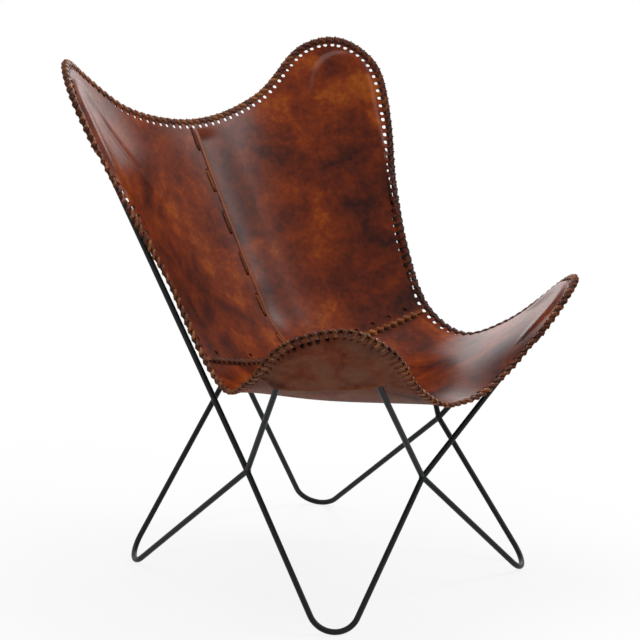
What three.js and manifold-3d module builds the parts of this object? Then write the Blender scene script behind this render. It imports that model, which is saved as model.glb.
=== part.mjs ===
// Butterfly sling chair: a welded frame of eight bent rods carries a laced leather sling on its four ears.
// Millimetres, +Z up. The floor is Z = 0, the chair faces -Y and is alike on both sides of X = 0.
import * as THREE from "three";
import { mergeVertices } from "three/addons/utils/BufferGeometryUtils.js";
import Module from "manifold-3d";

const wasm = await Module();
wasm.setup();

// Main sizes: across the rear ear tips, from the front ear tips to the rear ones, and up to the rear ones
const EAR_SPAN = 646;
const EAR_REACH = 577;
const EAR_HEIGHT = 865;

// Frame: round rod, bent once per hairpin
const ROD_DIAMETER = 10;
const FLOOR_BEND_RADIUS = 43;
const REAR_EAR_BEND_RADIUS = 43;
const FRONT_EAR_BEND_RADIUS = 66;
const KNUCKLE_DIAMETER = 13.2;

// Frame: where the straight rods of each foot would meet, seen from above
const FRONT_FOOT_X = 0.41 * EAR_SPAN;
const FRONT_FOOT_Y = -0.4895 * EAR_REACH;
const REAR_FOOT_X = 0.381 * EAR_SPAN;
const REAR_FOOT_Y = 0.5055 * EAR_REACH;

// Frame: weld joints and ear tips, on the rod's centre line
const SIDE_JOINT_X = 0.37 * EAR_SPAN;
const SIDE_JOINT_Y = -0.089 * EAR_REACH;
const SIDE_JOINT_Z = 0.273 * EAR_HEIGHT;
const FRONT_JOINT_Y = -0.401 * EAR_REACH;
const FRONT_JOINT_Z = 0.246 * EAR_HEIGHT;
const REAR_JOINT_Y = 0.4135 * EAR_REACH;
const REAR_JOINT_Z = 0.387 * EAR_HEIGHT;
const REAR_EAR_X = 0.5 * EAR_SPAN;
const REAR_EAR_Y = 0.493 * EAR_REACH;
const FRONT_EAR_X = 0.457 * EAR_SPAN;
const FRONT_EAR_Y = REAR_EAR_Y - EAR_REACH;
const FRONT_EAR_Z = 0.586 * EAR_HEIGHT;

// Sling: leather, lace and the gap that touching pieces keep
const LEATHER = 3;
const LACE = 1.6;
const SEAM_LACE_WIDTH = 8;
const STITCH_LACE_WIDTH = 6;
const STITCH_LACE_INSET = 11;
const GAP = 0.3;
const SEAM_GAP = 0.5;

// Sling: the flat margin that is laced at the rim, and where the leather has risen to pass over an ear's rod
const MARGIN_WIDTH = 14;
const RISE_WIDTH = 20;

// Sling: how far each pocket runs along the rim from the ear's tip, and how its mouth hangs
const REAR_POCKET_TOP_RUN = 120;
const REAR_POCKET_SIDE_RUN = 190;
const FRONT_POCKET_EDGE_RUN = 155;
const FRONT_POCKET_SIDE_RUN = 180;
const POCKET_MOUTH_SAG = 22;

// Sling: the rim round each ear in bend radii from the tip, out along the ear and across it to the side rod
const REAR_EAR_RIM = [
  { out: 0.44, across: -1.77 },
  { out: 0.84, across: -0.16 },
  { out: -0.21, across: 1.44 },
  { out: -2.56, across: 2.16 },
];
const FRONT_EAR_RIM = [
  { out: -0.02, across: 0.97 },
  { out: 0.38, across: -0.5 },
  { out: -0.5, across: -1.59 },
];

// Sling: the free edges below the lines between ear tips, as shares of the span, the reach and the height
const TOP_EDGE = [
  { share: 0, back: 0.0925, drop: 0.11 },
  { share: 0.48, back: 0.101, drop: 0.072 },
];
const SIDE_EDGE = [
  { share: 0.258, inset: 0, drop: 0.149 },
  { share: 0.365, inset: 0.0415, drop: 0.2455 },
  { share: 0.476, inset: 0.0475, drop: 0.313 },
  { share: 0.601, inset: 0.016, drop: 0.304 },
  { share: 0.745, inset: -0.034, drop: 0.204 },
];
const FRONT_EDGE = [
  { share: 0.41, front: 0.069, drop: 0.113 },
  { share: 0.156, front: 0.052, drop: 0.163 },
  { share: 0, front: 0.048, drop: 0.169 },
];

// Sling: its centre line in the plane X = 0, as shares of the reach and the height, from front to top
const SEAT_LINE = [
  { y: -0.356, z: 0.399 },
  { y: -0.148, z: 0.393 },
  { y: 0.008, z: 0.408 },
];
const SEAM_POINT = { y: 0.1155, z: 0.438 };
const BACK_LINE = [
  { y: 0.2195, z: 0.489 },
  { y: 0.311, z: 0.578 },
  { y: 0.4515, z: 0.732 },
];

// Sling: how far the seat sags at each side of its centre line, and where the back's seam stands left of it
const SEAT_SAG = 0.014 * EAR_HEIGHT;
const SEAM_OFFSET = 8;

// Facets
const ROD_SIDES = 14;
const BEND_STEPS = 10;
const COLUMNS = 26;
const SEAT_ROWS = 14;
const BACK_ROWS = 18;
const MOUTH_STEPS = 6;

const ROD_RADIUS = ROD_DIAMETER / 2;
const KNUCKLE_RADIUS = KNUCKLE_DIAMETER / 2;
const ROWS = SEAT_ROWS + BACK_ROWS;
const MIDDLE = COLUMNS / 2;
const HALF_LEATHER = LEATHER / 2;
// Height of a sheet's middle over the plane of an ear's rod, and at the rim, where sling and pocket meet
const OVER_ROD = ROD_RADIUS + GAP + HALF_LEATHER;
const AT_RIM = HALF_LEATHER + GAP / 2;
// The same height where the laced margin itself crosses a rod
const OVER_LACED_ROD = OVER_ROD + LACE + 2 * GAP;

const vec = (x, y, z) => new THREE.Vector3(x, y, z);
const mirrored = (p) => vec(-p.x, p.y, p.z);
const unit = (from, to) => to.clone().sub(from).normalize();
const mix = (a, b, share) => a.clone().lerp(b, share);
const along = (p, direction, distance) => p.clone().addScaledVector(direction, distance);
const SIDES = [
  { side: "left", sign: -1 },
  { side: "right", sign: 1 },
];

const steel = () => new THREE.MeshStandardMaterial({ color: 0x1d2021, roughness: 0.45, metalness: 0.3 });
const hide = () => new THREE.MeshStandardMaterial({ color: 0x6e321a, roughness: 0.5, metalness: 0 });
const lace = () => new THREE.MeshStandardMaterial({ color: 0x4a2413, roughness: 0.6, metalness: 0 });

const chair = new THREE.Group();

/** Adds one named piece to the chair. */
function addPiece(name, geometry, material) {
  const mesh = new THREE.Mesh(geometry, material);
  mesh.name = name;
  chair.add(mesh);
}

/** A closed three.js geometry as a solid that can be joined and cut. */
function solidOf(geometry) {
  const bare = geometry.clone();
  bare.deleteAttribute("normal");
  bare.deleteAttribute("uv");
  const merged = mergeVertices(bare, 1e-4);
  return new wasm.Manifold(
    new wasm.Mesh({
      numProp: 3,
      vertProperties: new Float32Array(merged.attributes.position.array),
      triVerts: new Uint32Array(merged.index.array),
    }),
  );
}

/** A solid as a three.js geometry. */
function geometryOf(solid) {
  const mesh = solid.getMesh();
  const geometry = new THREE.BufferGeometry();
  geometry.setAttribute("position", new THREE.BufferAttribute(mesh.vertProperties, 3));
  geometry.setIndex(new THREE.BufferAttribute(mesh.triVerts, 1));
  return geometry;
}

/** A hairpin's centre line: straight, one round bend, straight. Steps fall on the bend only. */
class Hairpin extends THREE.Curve {
  constructor(start, corner, end, radius) {
    super();
    const toStart = unit(corner, start);
    const toEnd = unit(corner, end);
    const half = toStart.angleTo(toEnd) / 2;
    const inward = toStart.clone().add(toEnd).normalize();
    const centre = along(corner, inward, radius / Math.sin(half));
    const first = along(corner, toStart, radius / Math.tan(half));
    const axisA = unit(centre, first);
    const axisB = toStart.clone().negate();
    const turn = Math.PI - 2 * half;
    this.stations = [{ point: start, tangent: axisB }];
    for (let k = 0; k <= BEND_STEPS; k++) {
      const angle = (turn * k) / BEND_STEPS;
      const spoke = axisA.clone().multiplyScalar(Math.cos(angle)).addScaledVector(axisB, Math.sin(angle));
      const tangent = axisB.clone().multiplyScalar(Math.cos(angle)).addScaledVector(axisA, -Math.sin(angle));
      this.stations.push({ point: along(centre, spoke, radius), tangent });
    }
    this.stations.push({ point: end, tangent: toEnd });
    this.steps = this.stations.length - 1;
  }

  getPointAt(share) {
    return this.stations[Math.round(share * this.steps)].point.clone();
  }

  getTangentAt(share) {
    return this.stations[Math.round(share * this.steps)].tangent.clone();
  }
}

/** The corner of a floor hairpin, at the height where its bend just stands on the floor. */
function floorCorner(x, y, start, end) {
  const corner = vec(x, y, 0);
  for (let pass = 0; pass < 20; pass++) {
    const heights = new Hairpin(start, corner, end, FLOOR_BEND_RADIUS).stations.map((s) => s.point.z);
    corner.z += ROD_RADIUS - Math.min(...heights);
  }
  return corner;
}

/** The corner of an ear hairpin whose bend passes through the ear tip. */
function earCorner(tip, start, end, radius) {
  const corner = tip.clone();
  for (let pass = 0; pass < 20; pass++) {
    const toStart = unit(corner, start);
    const toEnd = unit(corner, end);
    const beyond = radius / Math.sin(toStart.angleTo(toEnd) / 2) - radius;
    corner.copy(along(tip, toStart.add(toEnd).normalize(), -beyond));
  }
  return corner;
}

const joints = {
  front: vec(0, FRONT_JOINT_Y, FRONT_JOINT_Z),
  rear: vec(0, REAR_JOINT_Y, REAR_JOINT_Z),
  left: vec(-SIDE_JOINT_X, SIDE_JOINT_Y, SIDE_JOINT_Z),
  right: vec(SIDE_JOINT_X, SIDE_JOINT_Y, SIDE_JOINT_Z),
};

// Each hairpin runs from a middle joint, front or rear, to a side joint
const hairpins = [];
const ears = [];
for (const { side, sign } of SIDES) {
  const ends = [
    { end: "front", footX: FRONT_FOOT_X, footY: FRONT_FOOT_Y, radius: FRONT_EAR_BEND_RADIUS },
    { end: "rear", footX: REAR_FOOT_X, footY: REAR_FOOT_Y, radius: REAR_EAR_BEND_RADIUS },
  ];
  for (const { end, footX, footY, radius } of ends) {
    const ends3 = [joints[end], joints[side]];
    const foot = floorCorner(sign * footX, footY, ...ends3);
    const legPath = new Hairpin(ends3[0], foot, ends3[1], FLOOR_BEND_RADIUS);
    hairpins.push({ name: `leg_hairpin_${end}_${side}`, path: legPath, at: [end, side] });
    const tip =
      end === "front"
        ? vec(sign * FRONT_EAR_X, FRONT_EAR_Y, FRONT_EAR_Z)
        : vec(sign * REAR_EAR_X, REAR_EAR_Y, EAR_HEIGHT);
    const earPath = new Hairpin(ends3[0], earCorner(tip, ...ends3, radius), ends3[1], radius);
    hairpins.push({ name: `ear_hairpin_${end}_${side}`, path: earPath, at: [end, side] });
    const inward = unit(tip, ends3[0]).add(unit(tip, ends3[1])).normalize();
    const normal = unit(tip, ends3[0]).cross(unit(tip, ends3[1])).normalize();
    // The inner face of every ear looks up, towards the sitter
    if (normal.z < 0) normal.negate();
    const across = normal.clone().cross(inward).normalize();
    if (across.dot(unit(tip, joints[side])) < 0) across.negate();
    const outward = inward.clone().negate();
    ears.push({ end, side, sign, tip, radius, outward, across, normal, path: earPath });
  }
}

/** A block that fills the far side of a plane, for a mitre cut. */
function farSide(point, keepDirection) {
  const size = 12 * ROD_RADIUS;
  const block = new THREE.BoxGeometry(size, size, size);
  block.applyQuaternion(new THREE.Quaternion().setFromUnitVectors(vec(0, 0, 1), keepDirection));
  const centre = along(point, keepDirection, GAP / 2 - size / 2);
  return solidOf(block.translate(centre.x, centre.y, centre.z));
}

/** The ball of ground weld at a joint, made larger to cut its seats in the rods. */
function knuckleBall(point, extra) {
  const ball = new THREE.SphereGeometry(KNUCKLE_RADIUS + extra, 14, 10);
  return ball.translate(point.x, point.y, point.z);
}

function buildFrame() {
  const section = new THREE.Shape().absarc(0, 0, ROD_RADIUS, 0, 2 * Math.PI);
  for (const rod of hairpins) {
    const { stations, steps } = rod.path;
    const swept = new THREE.ExtrudeGeometry(section, {
      extrudePath: rod.path,
      steps,
      curveSegments: ROD_SIDES / 2,
      bevelEnabled: false,
    });
    let solid = solidOf(swept);
    rod.at.forEach((joint, k) => {
      const centre = joints[joint];
      const own = unit(centre, stations[k === 0 ? 1 : steps - 1].point);
      for (const other of hairpins) {
        const end = other.at.indexOf(joint);
        if (other === rod || end < 0) continue;
        const next = other.path.stations[end === 0 ? 1 : other.path.steps - 1].point;
        solid = solid.subtract(farSide(centre, own.clone().sub(unit(centre, next)).normalize()));
      }
      solid = solid.subtract(solidOf(knuckleBall(centre, GAP)));
    });
    addPiece(rod.name, geometryOf(solid), steel());
  }
  for (const [name, centre] of Object.entries(joints)) {
    addPiece(`weld_knuckle_${name}`, knuckleBall(centre, 0), steel());
  }
}

/** Points at even distances along a curve between two of its control points. */
function evenPoints(curve, from, to, knots, count) {
  const fine = 40 * (to - from);
  const points = [];
  for (let k = 0; k <= fine; k++) points.push(curve.getPoint((from + (k * (to - from)) / fine) / knots));
  const reach = [0];
  for (let k = 1; k <= fine; k++) reach.push(reach[k - 1] + points[k].distanceTo(points[k - 1]));
  const even = [];
  let at = 0;
  for (let k = 0; k <= count; k++) {
    const goal = (reach[fine] * k) / count;
    while (at < fine - 1 && reach[at + 1] < goal) at++;
    even.push(mix(points[at], points[at + 1], (goal - reach[at]) / (reach[at + 1] - reach[at])));
  }
  return even;
}

/** The rim of the sling's left half, from the top edge's middle round both ears to the front edge. */
function leftRimKnots() {
  const rear = ears.find((ear) => ear.end === "rear" && ear.side === "left");
  const front = ears.find((ear) => ear.end === "front" && ear.side === "left");
  const onEar = (ear) => (rim) =>
    along(along(ear.tip, ear.outward, rim.out * ear.radius), ear.across, rim.across * ear.radius);
  const top = TOP_EDGE.map((e) => {
    return vec(e.share * rear.tip.x, rear.tip.y + e.back * EAR_REACH, rear.tip.z - e.drop * EAR_HEIGHT);
  });
  const side = SIDE_EDGE.map((e) => {
    return mix(rear.tip, front.tip, e.share).add(vec(e.inset * EAR_SPAN, 0, -e.drop * EAR_HEIGHT));
  });
  const low = FRONT_EDGE.map((e) => {
    return vec(e.share * front.tip.x, front.tip.y - e.front * EAR_REACH, front.tip.z - e.drop * EAR_HEIGHT);
  });
  return {
    knots: [...top, ...REAR_EAR_RIM.map(onEar(rear)), ...side, ...FRONT_EAR_RIM.map(onEar(front)), ...low],
    rearTip: top.length + 1,
    seam: top.length + REAR_EAR_RIM.length + 2,
    frontTip: top.length + REAR_EAR_RIM.length + side.length + 1,
  };
}

/** The sling's middle sheet as columns of points: rim and centre line are given, the rest is faired. */
function slingSheet() {
  const { knots, rearTip, seam, frontTip } = leftRimKnots();
  const last = knots.length - 1;
  const loop = [...knots, ...knots.slice(1, last).reverse().map(mirrored)];
  const rim = new THREE.CatmullRomCurve3(loop, true, "centripetal");
  const rimPoints = (from, to, count) => evenPoints(rim, from, to, loop.length, count);
  const topHalf = rimPoints(0, rearTip, MIDDLE).reverse();
  const sideBack = rimPoints(rearTip, seam, BACK_ROWS).reverse();
  const sideSeat = rimPoints(seam, frontTip, SEAT_ROWS).reverse();
  const frontHalf = rimPoints(frontTip, last, MIDDLE);

  const inPlane = (p) => vec(0, p.y * EAR_REACH, p.z * EAR_HEIGHT);
  const lineKnots = [knots[last], ...SEAT_LINE.map(inPlane), inPlane(SEAM_POINT)];
  const seamKnot = lineKnots.length - 1;
  lineKnots.push(...BACK_LINE.map(inPlane), knots[0]);
  const line = new THREE.CatmullRomCurve3(lineKnots, false, "centripetal");
  const spans = lineKnots.length - 1;
  const centre = evenPoints(line, 0, seamKnot, spans, SEAT_ROWS);
  centre.push(...evenPoints(line, seamKnot, spans, spans, BACK_ROWS).slice(1));

  const sheet = [];
  const side = [...sideSeat, ...sideBack.slice(1)];
  for (let i = 0; i <= COLUMNS; i++) {
    const nearLeft = Math.min(i, COLUMNS - i);
    const share = 1 - nearLeft / MIDDLE;
    const column = [];
    for (let j = 0; j <= ROWS; j++) {
      let p = vec(side[j].x * share, 0, 0);
      p.y = centre[j].y + (side[j].y - centre[j].y) * share * share;
      p.z = centre[j].z + (side[j].z - centre[j].z) * share * share;
      if (j === 0) p = frontHalf[nearLeft].clone();
      if (j === ROWS) p = topHalf[nearLeft].clone();
      column.push(i > MIDDLE ? mirrored(p) : p);
    }
    sheet.push(column);
  }
  const given = (i, j) => i === 0 || i === COLUMNS || j === 0 || j === ROWS || i === MIDDLE;
  fair(sheet, given);
  const sagRows = SEAT_ROWS + BACK_ROWS / 3;
  sheet.forEach((column, i) =>
    column.forEach((p, j) => {
      const sideways = Math.sin((Math.PI * Math.min(i, COLUMNS - i)) / MIDDLE);
      p.z -= SEAT_SAG * sideways * Math.sin(Math.PI * Math.min(1, j / sagRows)) ** 2;
    }),
  );
  return sheet;
}

/** Moves the free points of a grid to where the sheet bends least, by conjugate gradients. */
function fair(sheet, given) {
  const rows = sheet[0].length;
  const index = (i, j) => i * rows + j;
  const stencils = [];
  for (let i = 0; i < sheet.length; i++) {
    for (let j = 0; j < rows; j++) {
      if (i > 0 && i < sheet.length - 1) {
        stencils.push([index(i - 1, j), 1, index(i, j), -2, index(i + 1, j), 1]);
      }
      if (j > 0 && j < rows - 1) {
        stencils.push([index(i, j - 1), 1, index(i, j), -2, index(i, j + 1), 1]);
      }
      if (i > 0 && j > 0) {
        const twist = Math.SQRT2;
        stencils.push([
          ...[index(i, j), twist, index(i - 1, j), -twist],
          ...[index(i, j - 1), -twist, index(i - 1, j - 1), twist],
        ]);
      }
    }
  }
  const free = sheet.flatMap((column, i) => column.map((_, j) => (given(i, j) ? 0 : 1)));
  const bend = (values) => {
    const force = new Float64Array(values.length);
    for (const stencil of stencils) {
      let sum = 0;
      for (let k = 0; k < stencil.length; k += 2) sum += values[stencil[k]] * stencil[k + 1];
      for (let k = 0; k < stencil.length; k += 2) force[stencil[k]] += sum * stencil[k + 1];
    }
    return force.map((value, k) => value * free[k]);
  };
  const dot = (a, b) => a.reduce((sum, value, k) => sum + value * b[k], 0);
  for (const axis of ["x", "y", "z"]) {
    const values = Float64Array.from(sheet.flat(), (p) => p[axis]);
    const residue = bend(values).map((value) => -value);
    const step = residue.slice();
    let size = dot(residue, residue);
    for (let pass = 0; pass < 600 && size > 1e-9; pass++) {
      const pull = bend(step);
      const length = size / dot(step, pull);
      for (let k = 0; k < values.length; k++) {
        values[k] += length * step[k];
        residue[k] -= length * pull[k];
      }
      const next = dot(residue, residue);
      for (let k = 0; k < step.length; k++) step[k] = residue[k] + (next / size) * step[k];
      size = next;
    }
    sheet.flat().forEach((p, k) => (p[axis] = values[k]));
  }
}

/** Adds a band of even width just inside the rim, so that the lacing has a seat to follow. */
function withRimBand(sheet, width) {
  const lastI = sheet.length - 1;
  const lastJ = sheet[0].length - 1;
  const inside = (k, last) => Math.max(1, Math.min(last - 1, k));
  const walk = [];
  for (let i = 0; i < lastI; i++) walk.push([i, 0]);
  for (let j = 0; j < lastJ; j++) walk.push([lastI, j]);
  for (let i = lastI; i > 0; i--) walk.push([i, lastJ]);
  for (let j = lastJ; j > 0; j--) walk.push([0, j]);
  const edgeAt = (k) => sheet[walk.at(k % walk.length)[0]][walk.at(k % walk.length)[1]];
  const wide = Array.from({ length: lastI + 3 }, () => new Array(lastJ + 3).fill(null));
  const place = (k, last) => (k === 0 ? 0 : k === last ? last + 2 : k + 1);
  sheet.forEach((column, i) => column.forEach((p, j) => (wide[place(i, lastI)][place(j, lastJ)] = p)));
  walk.forEach(([i, j], k) => {
    const edge = sheet[i][j];
    const run = unit(edgeAt(k - 1), edgeAt(k + 1));
    const inward = sheet[inside(i, lastI)][inside(j, lastJ)].clone().sub(edge);
    inward.addScaledVector(run, -inward.dot(run));
    const room = 0.8 * inward.length();
    const point = along(edge, inward.normalize(), Math.min(width, room));
    wide[inside(place(i, lastI), lastI + 2)][inside(place(j, lastJ), lastJ + 2)] = point;
  });
  const between = (a, b) => along(a, unit(a, b), Math.min(width, 0.7 * a.distanceTo(b)));
  for (const [i, i1, i2] of [[0, 1, 2], [lastI + 2, lastI + 1, lastI]]) {
    for (const [j, j1, j2] of [[0, 1, 2], [lastJ + 2, lastJ + 1, lastJ]]) {
      wide[i1][j] = between(wide[i][j], wide[i2][j]);
      wide[i][j1] = between(wide[i][j], wide[i][j2]);
    }
  }
  return wide;
}

/** The two triangles of a grid square as corner steps. Their shared edge runs towards the nearest ear. */
function squareFaces(i, j) {
  const [a, b, c, d] = [[i - 1, j - 1], [i, j - 1], [i, j], [i - 1, j]];
  const rising = i <= SEAM_COLUMN === j <= SEAM_ROW;
  return rising ? [[a, b, c], [a, c, d]] : [[a, b, d], [b, c, d]];
}

/** The inward unit normal of the sheet at each grid point. */
function sheetNormals(sheet) {
  const normals = sheet.map((column) => column.map(() => vec(0, 0, 0)));
  for (let i = 1; i < sheet.length; i++) {
    for (let j = 1; j < sheet[0].length; j++) {
      for (const corners of squareFaces(i, j)) {
        const [p, q, r] = corners.map(([m, n]) => sheet[m][n]);
        const face = q.clone().sub(p).cross(r.clone().sub(p));
        for (const [m, n] of corners) normals[m][n].add(face);
      }
    }
  }
  return normals.map((column) => column.map((n) => n.normalize()));
}

/** Distance from a point to a hairpin's centre line. */
function rodDistance(point, path) {
  const nearest = vec(0, 0, 0);
  let least = Infinity;
  for (let k = 1; k < path.stations.length; k++) {
    const run = new THREE.Line3(path.stations[k - 1].point, path.stations[k].point);
    run.closestPointToPoint(point, true, nearest);
    least = Math.min(least, nearest.distanceTo(point));
  }
  return least;
}

/** Lifts the sheet over the ear rods. The margin stays down on the pocket's margin where no rod is near. */
function liftOverRods(sheet) {
  const smooth = THREE.MathUtils.smoothstep;
  sheet.forEach((column, i) =>
    column.forEach((p, j) => {
      const inMargin = Math.min(i, j, sheet.length - 1 - i, column.length - 1 - j) < BANDS;
      for (const ear of ears) {
        const away = rodDistance(p, ear.path);
        const near = 1 - smooth(away, 12 * ROD_RADIUS, 20 * ROD_RADIUS);
        if (near <= 0 || p.x * ear.sign < 0) continue;
        const height = p.clone().sub(ear.tip).dot(ear.normal);
        const apart = smooth(away, OVER_ROD, OVER_ROD + LEATHER);
        const goal = inMargin ? OVER_LACED_ROD + (AT_RIM - OVER_LACED_ROD) * apart : OVER_ROD;
        const lift = height < 0 ? goal - height : Math.max(0, goal - height / 2.2);
        p.addScaledVector(ear.normal, lift * near);
      }
    }),
  );
}

/** Puts the margin's extra points beside each ear tip on the line between their neighbours. */
function straightenCorners(sheet) {
  const ends = (last) => [(k) => k, (k) => last - k];
  for (const column of ends(sheet.length - 1)) {
    for (const row of ends(sheet[0].length - 1)) {
      const at = (i, j) => sheet[column(i)][row(j)];
      for (const [low, high] of [[at(1, 2), at(1, 3)], [at(2, 1), at(3, 1)]]) {
        new THREE.Line3(at(1, 1), high).closestPointToPoint(low.clone(), true, low);
      }
    }
  }
}

/** A closed sheet of leather over a block of the sling's grid, from its middle points and their normals. */
function leatherSheet(points, normals, firstColumn, firstRow) {
  const columns = points.length;
  const rows = points[0].length;
  const positions = [];
  const faces = [];
  for (const face of [HALF_LEATHER, -HALF_LEATHER]) {
    points.forEach((column, i) =>
      column.forEach((p, j) => positions.push(...along(p, normals[i][j], face).toArray())),
    );
  }
  const at = (i, j, face) => (face * columns + i) * rows + j;
  for (let i = 1; i < columns; i++) {
    for (let j = 1; j < rows; j++) {
      for (const corners of squareFaces(firstColumn + i, firstRow + j)) {
        const [a, b, c] = corners.map(([m, n]) => [m - firstColumn, n - firstRow]);
        faces.push(at(...a, 0), at(...b, 0), at(...c, 0), at(...a, 1), at(...c, 1), at(...b, 1));
      }
    }
  }
  const quad = (a, b, c, d) => faces.push(a, b, c, a, c, d);
  for (let i = 1; i < columns; i++) {
    quad(at(i - 1, 0, 1), at(i, 0, 1), at(i, 0, 0), at(i - 1, 0, 0));
    quad(at(i - 1, rows - 1, 0), at(i, rows - 1, 0), at(i, rows - 1, 1), at(i - 1, rows - 1, 1));
  }
  for (let j = 1; j < rows; j++) {
    quad(at(0, j - 1, 1), at(0, j - 1, 0), at(0, j, 0), at(0, j, 1));
    quad(at(columns - 1, j - 1, 0), at(columns - 1, j - 1, 1), at(columns - 1, j, 1), at(columns - 1, j, 0));
  }
  return meshOf(positions, faces);
}

/** A geometry from flat lists of coordinates and corner numbers. */
function meshOf(positions, faces) {
  const geometry = new THREE.BufferGeometry();
  geometry.setAttribute("position", new THREE.Float32BufferAttribute(positions, 3));
  geometry.setIndex(faces);
  return geometry;
}

/** A bar with the same closed section of points at each station, and flat ends. */
function sectionBar(sections, crossed = () => false) {
  const count = sections[0].length;
  const positions = sections.flat().flatMap((p) => p.toArray());
  const faces = [];
  for (let k = 1; k < sections.length; k++) {
    for (let m = 0; m < count; m++) {
      const next = (m + 1) % count;
      const [a, b] = [(k - 1) * count + m, (k - 1) * count + next];
      const [c, d] = [k * count + next, k * count + m];
      faces.push(...(crossed(k, m) ? [a, b, d, b, c, d] : [a, b, c, a, c, d]));
    }
  }
  const lids = sections.length - 1;
  const end = sections[0].map((p) => new THREE.Vector2(...flatten(p, sections[0])));
  for (const [a, b, c] of THREE.ShapeUtils.triangulateShape(end, [])) faces.push(a, c, b);
  const close = sections[lids].map((p) => new THREE.Vector2(...flatten(p, sections[lids])));
  for (const [a, b, c] of THREE.ShapeUtils.triangulateShape(close, [])) {
    faces.push(lids * count + a, lids * count + b, lids * count + c);
  }
  return facingOut(meshOf(positions, faces));
}

/** A section's point in the plane of its section, turning the same way as the section's order of points. */
function flatten(point, section) {
  const origin = section[0];
  const area = vec(0, 0, 0);
  section.forEach((p, k) => {
    const next = section[(k + 1) % section.length];
    area.add(p.clone().sub(origin).cross(next.clone().sub(origin)));
  });
  const normal = area.normalize();
  const axis = unit(origin, section[1]);
  const offset = point.clone().sub(origin);
  return [offset.dot(axis), offset.dot(normal.clone().cross(axis))];
}

/** The same closed geometry with its faces turned outwards. */
function facingOut(geometry) {
  const order = geometry.index.array;
  const points = geometry.attributes.position;
  const [a, b, c] = [vec(0, 0, 0), vec(0, 0, 0), vec(0, 0, 0)];
  let volume = 0;
  for (let k = 0; k < order.length; k += 3) {
    a.fromBufferAttribute(points, order[k]);
    b.fromBufferAttribute(points, order[k + 1]);
    c.fromBufferAttribute(points, order[k + 2]);
    volume += a.dot(b.cross(c));
  }
  if (volume > 0) return geometry;
  const turned = [];
  for (let k = 0; k < order.length; k += 3) turned.push(order[k], order[k + 2], order[k + 1]);
  return geometry.setIndex(turned);
}

// Grid lines of the seams, counted with the extra lines of the margin and the rise
const BANDS = 2;
const SEAM_ROW = SEAT_ROWS + BANDS;
const SEAM_COLUMN = MIDDLE + BANDS;
const sheet = withRimBand(withRimBand(slingSheet(), RISE_WIDTH), MARGIN_WIDTH);
liftOverRods(sheet);
straightenCorners(sheet);
for (let j = SEAM_ROW; j < sheet[0].length; j++) {
  const seam = sheet[SEAM_COLUMN][j];
  seam.copy(along(seam, unit(seam, sheet[SEAM_COLUMN - 1][j]), SEAM_OFFSET));
}
const normals = sheetNormals(sheet);
const LAST_COLUMN = sheet.length - 1;
const LAST_ROW = sheet[0].length - 1;

/** A block of the sling's grid, drawn back from the seams on the sides that are named. */
function block(columns, rows, { fromColumn = 0, toColumn = 0, fromRow = 0, toRow = 0 }) {
  const points = [];
  const directions = [];
  const drawn = (p, inner, gap) => (gap > 0 ? along(p, unit(p, inner), gap) : p);
  for (let i = columns[0]; i <= columns[1]; i++) {
    const column = [];
    for (let j = rows[0]; j <= rows[1]; j++) {
      let p = sheet[i][j];
      if (i === columns[0]) p = drawn(p, sheet[i + 1][j], fromColumn);
      if (i === columns[1]) p = drawn(p, sheet[i - 1][j], toColumn);
      if (j === rows[0]) p = drawn(p, sheet[i][j + 1], fromRow);
      if (j === rows[1]) p = drawn(p, sheet[i][j - 1], toRow);
      column.push(p);
    }
    points.push(column);
    directions.push(normals[i].slice(rows[0], rows[1] + 1));
  }
  return leatherSheet(points, directions, columns[0], rows[0]);
}

function buildPanels() {
  const half = GAP / 2;
  addPiece("seat_panel", block([0, LAST_COLUMN], [0, SEAM_ROW], { toRow: half }), hide());
  const left = block([0, SEAM_COLUMN], [SEAM_ROW, LAST_ROW], { toColumn: half, fromRow: half });
  addPiece("back_panel_left", left, hide());
  const right = block([SEAM_COLUMN, LAST_COLUMN], [SEAM_ROW, LAST_ROW], { fromColumn: half, fromRow: half });
  addPiece("back_panel_right", right, hide());
}

/** Whether the rim walk, arriving at a grid point, comes nearer to an ear. */
function earAhead(i, j) {
  if (j === 0 && i > 0) return i > SEAM_COLUMN;
  if (i === LAST_COLUMN && j > 0) return j > SEAM_ROW;
  if (j === LAST_ROW && i < LAST_COLUMN) return i < SEAM_COLUMN;
  return j < SEAM_ROW;
}

/** The sling's rim as a closed walk of grid points, with the band and rise points inside each one. */
function rimWalk() {
  const walk = [];
  for (let i = 0; i < LAST_COLUMN; i++) walk.push([i, 0]);
  for (let j = 0; j < LAST_ROW; j++) walk.push([LAST_COLUMN, j]);
  for (let i = LAST_COLUMN; i > 0; i--) walk.push([i, LAST_ROW]);
  for (let j = LAST_ROW; j > 0; j--) walk.push([0, j]);
  const inside = (k, last, ring) => Math.max(ring, Math.min(last - ring, k));
  const inBand = (k, last) => k > 0 && k < last && Math.min(k, last - k) <= BANDS;
  return walk
    .filter(([i, j]) => !inBand(i, LAST_COLUMN) && !inBand(j, LAST_ROW))
    .map(([i, j]) => {
      const at = (grid, ring) => grid[inside(i, LAST_COLUMN, ring)][inside(j, LAST_ROW, ring)];
      return {
        edge: at(sheet, 0),
        band: at(sheet, 1),
        rise: at(sheet, BANDS),
        normal: at(normals, 0),
        bandNormal: at(normals, 1),
        earAhead: earAhead(i, j),
        i,
        j,
      };
    });
}

const rim = rimWalk();

const rimAt = (k) => rim[(k + rim.length) % rim.length];

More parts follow.
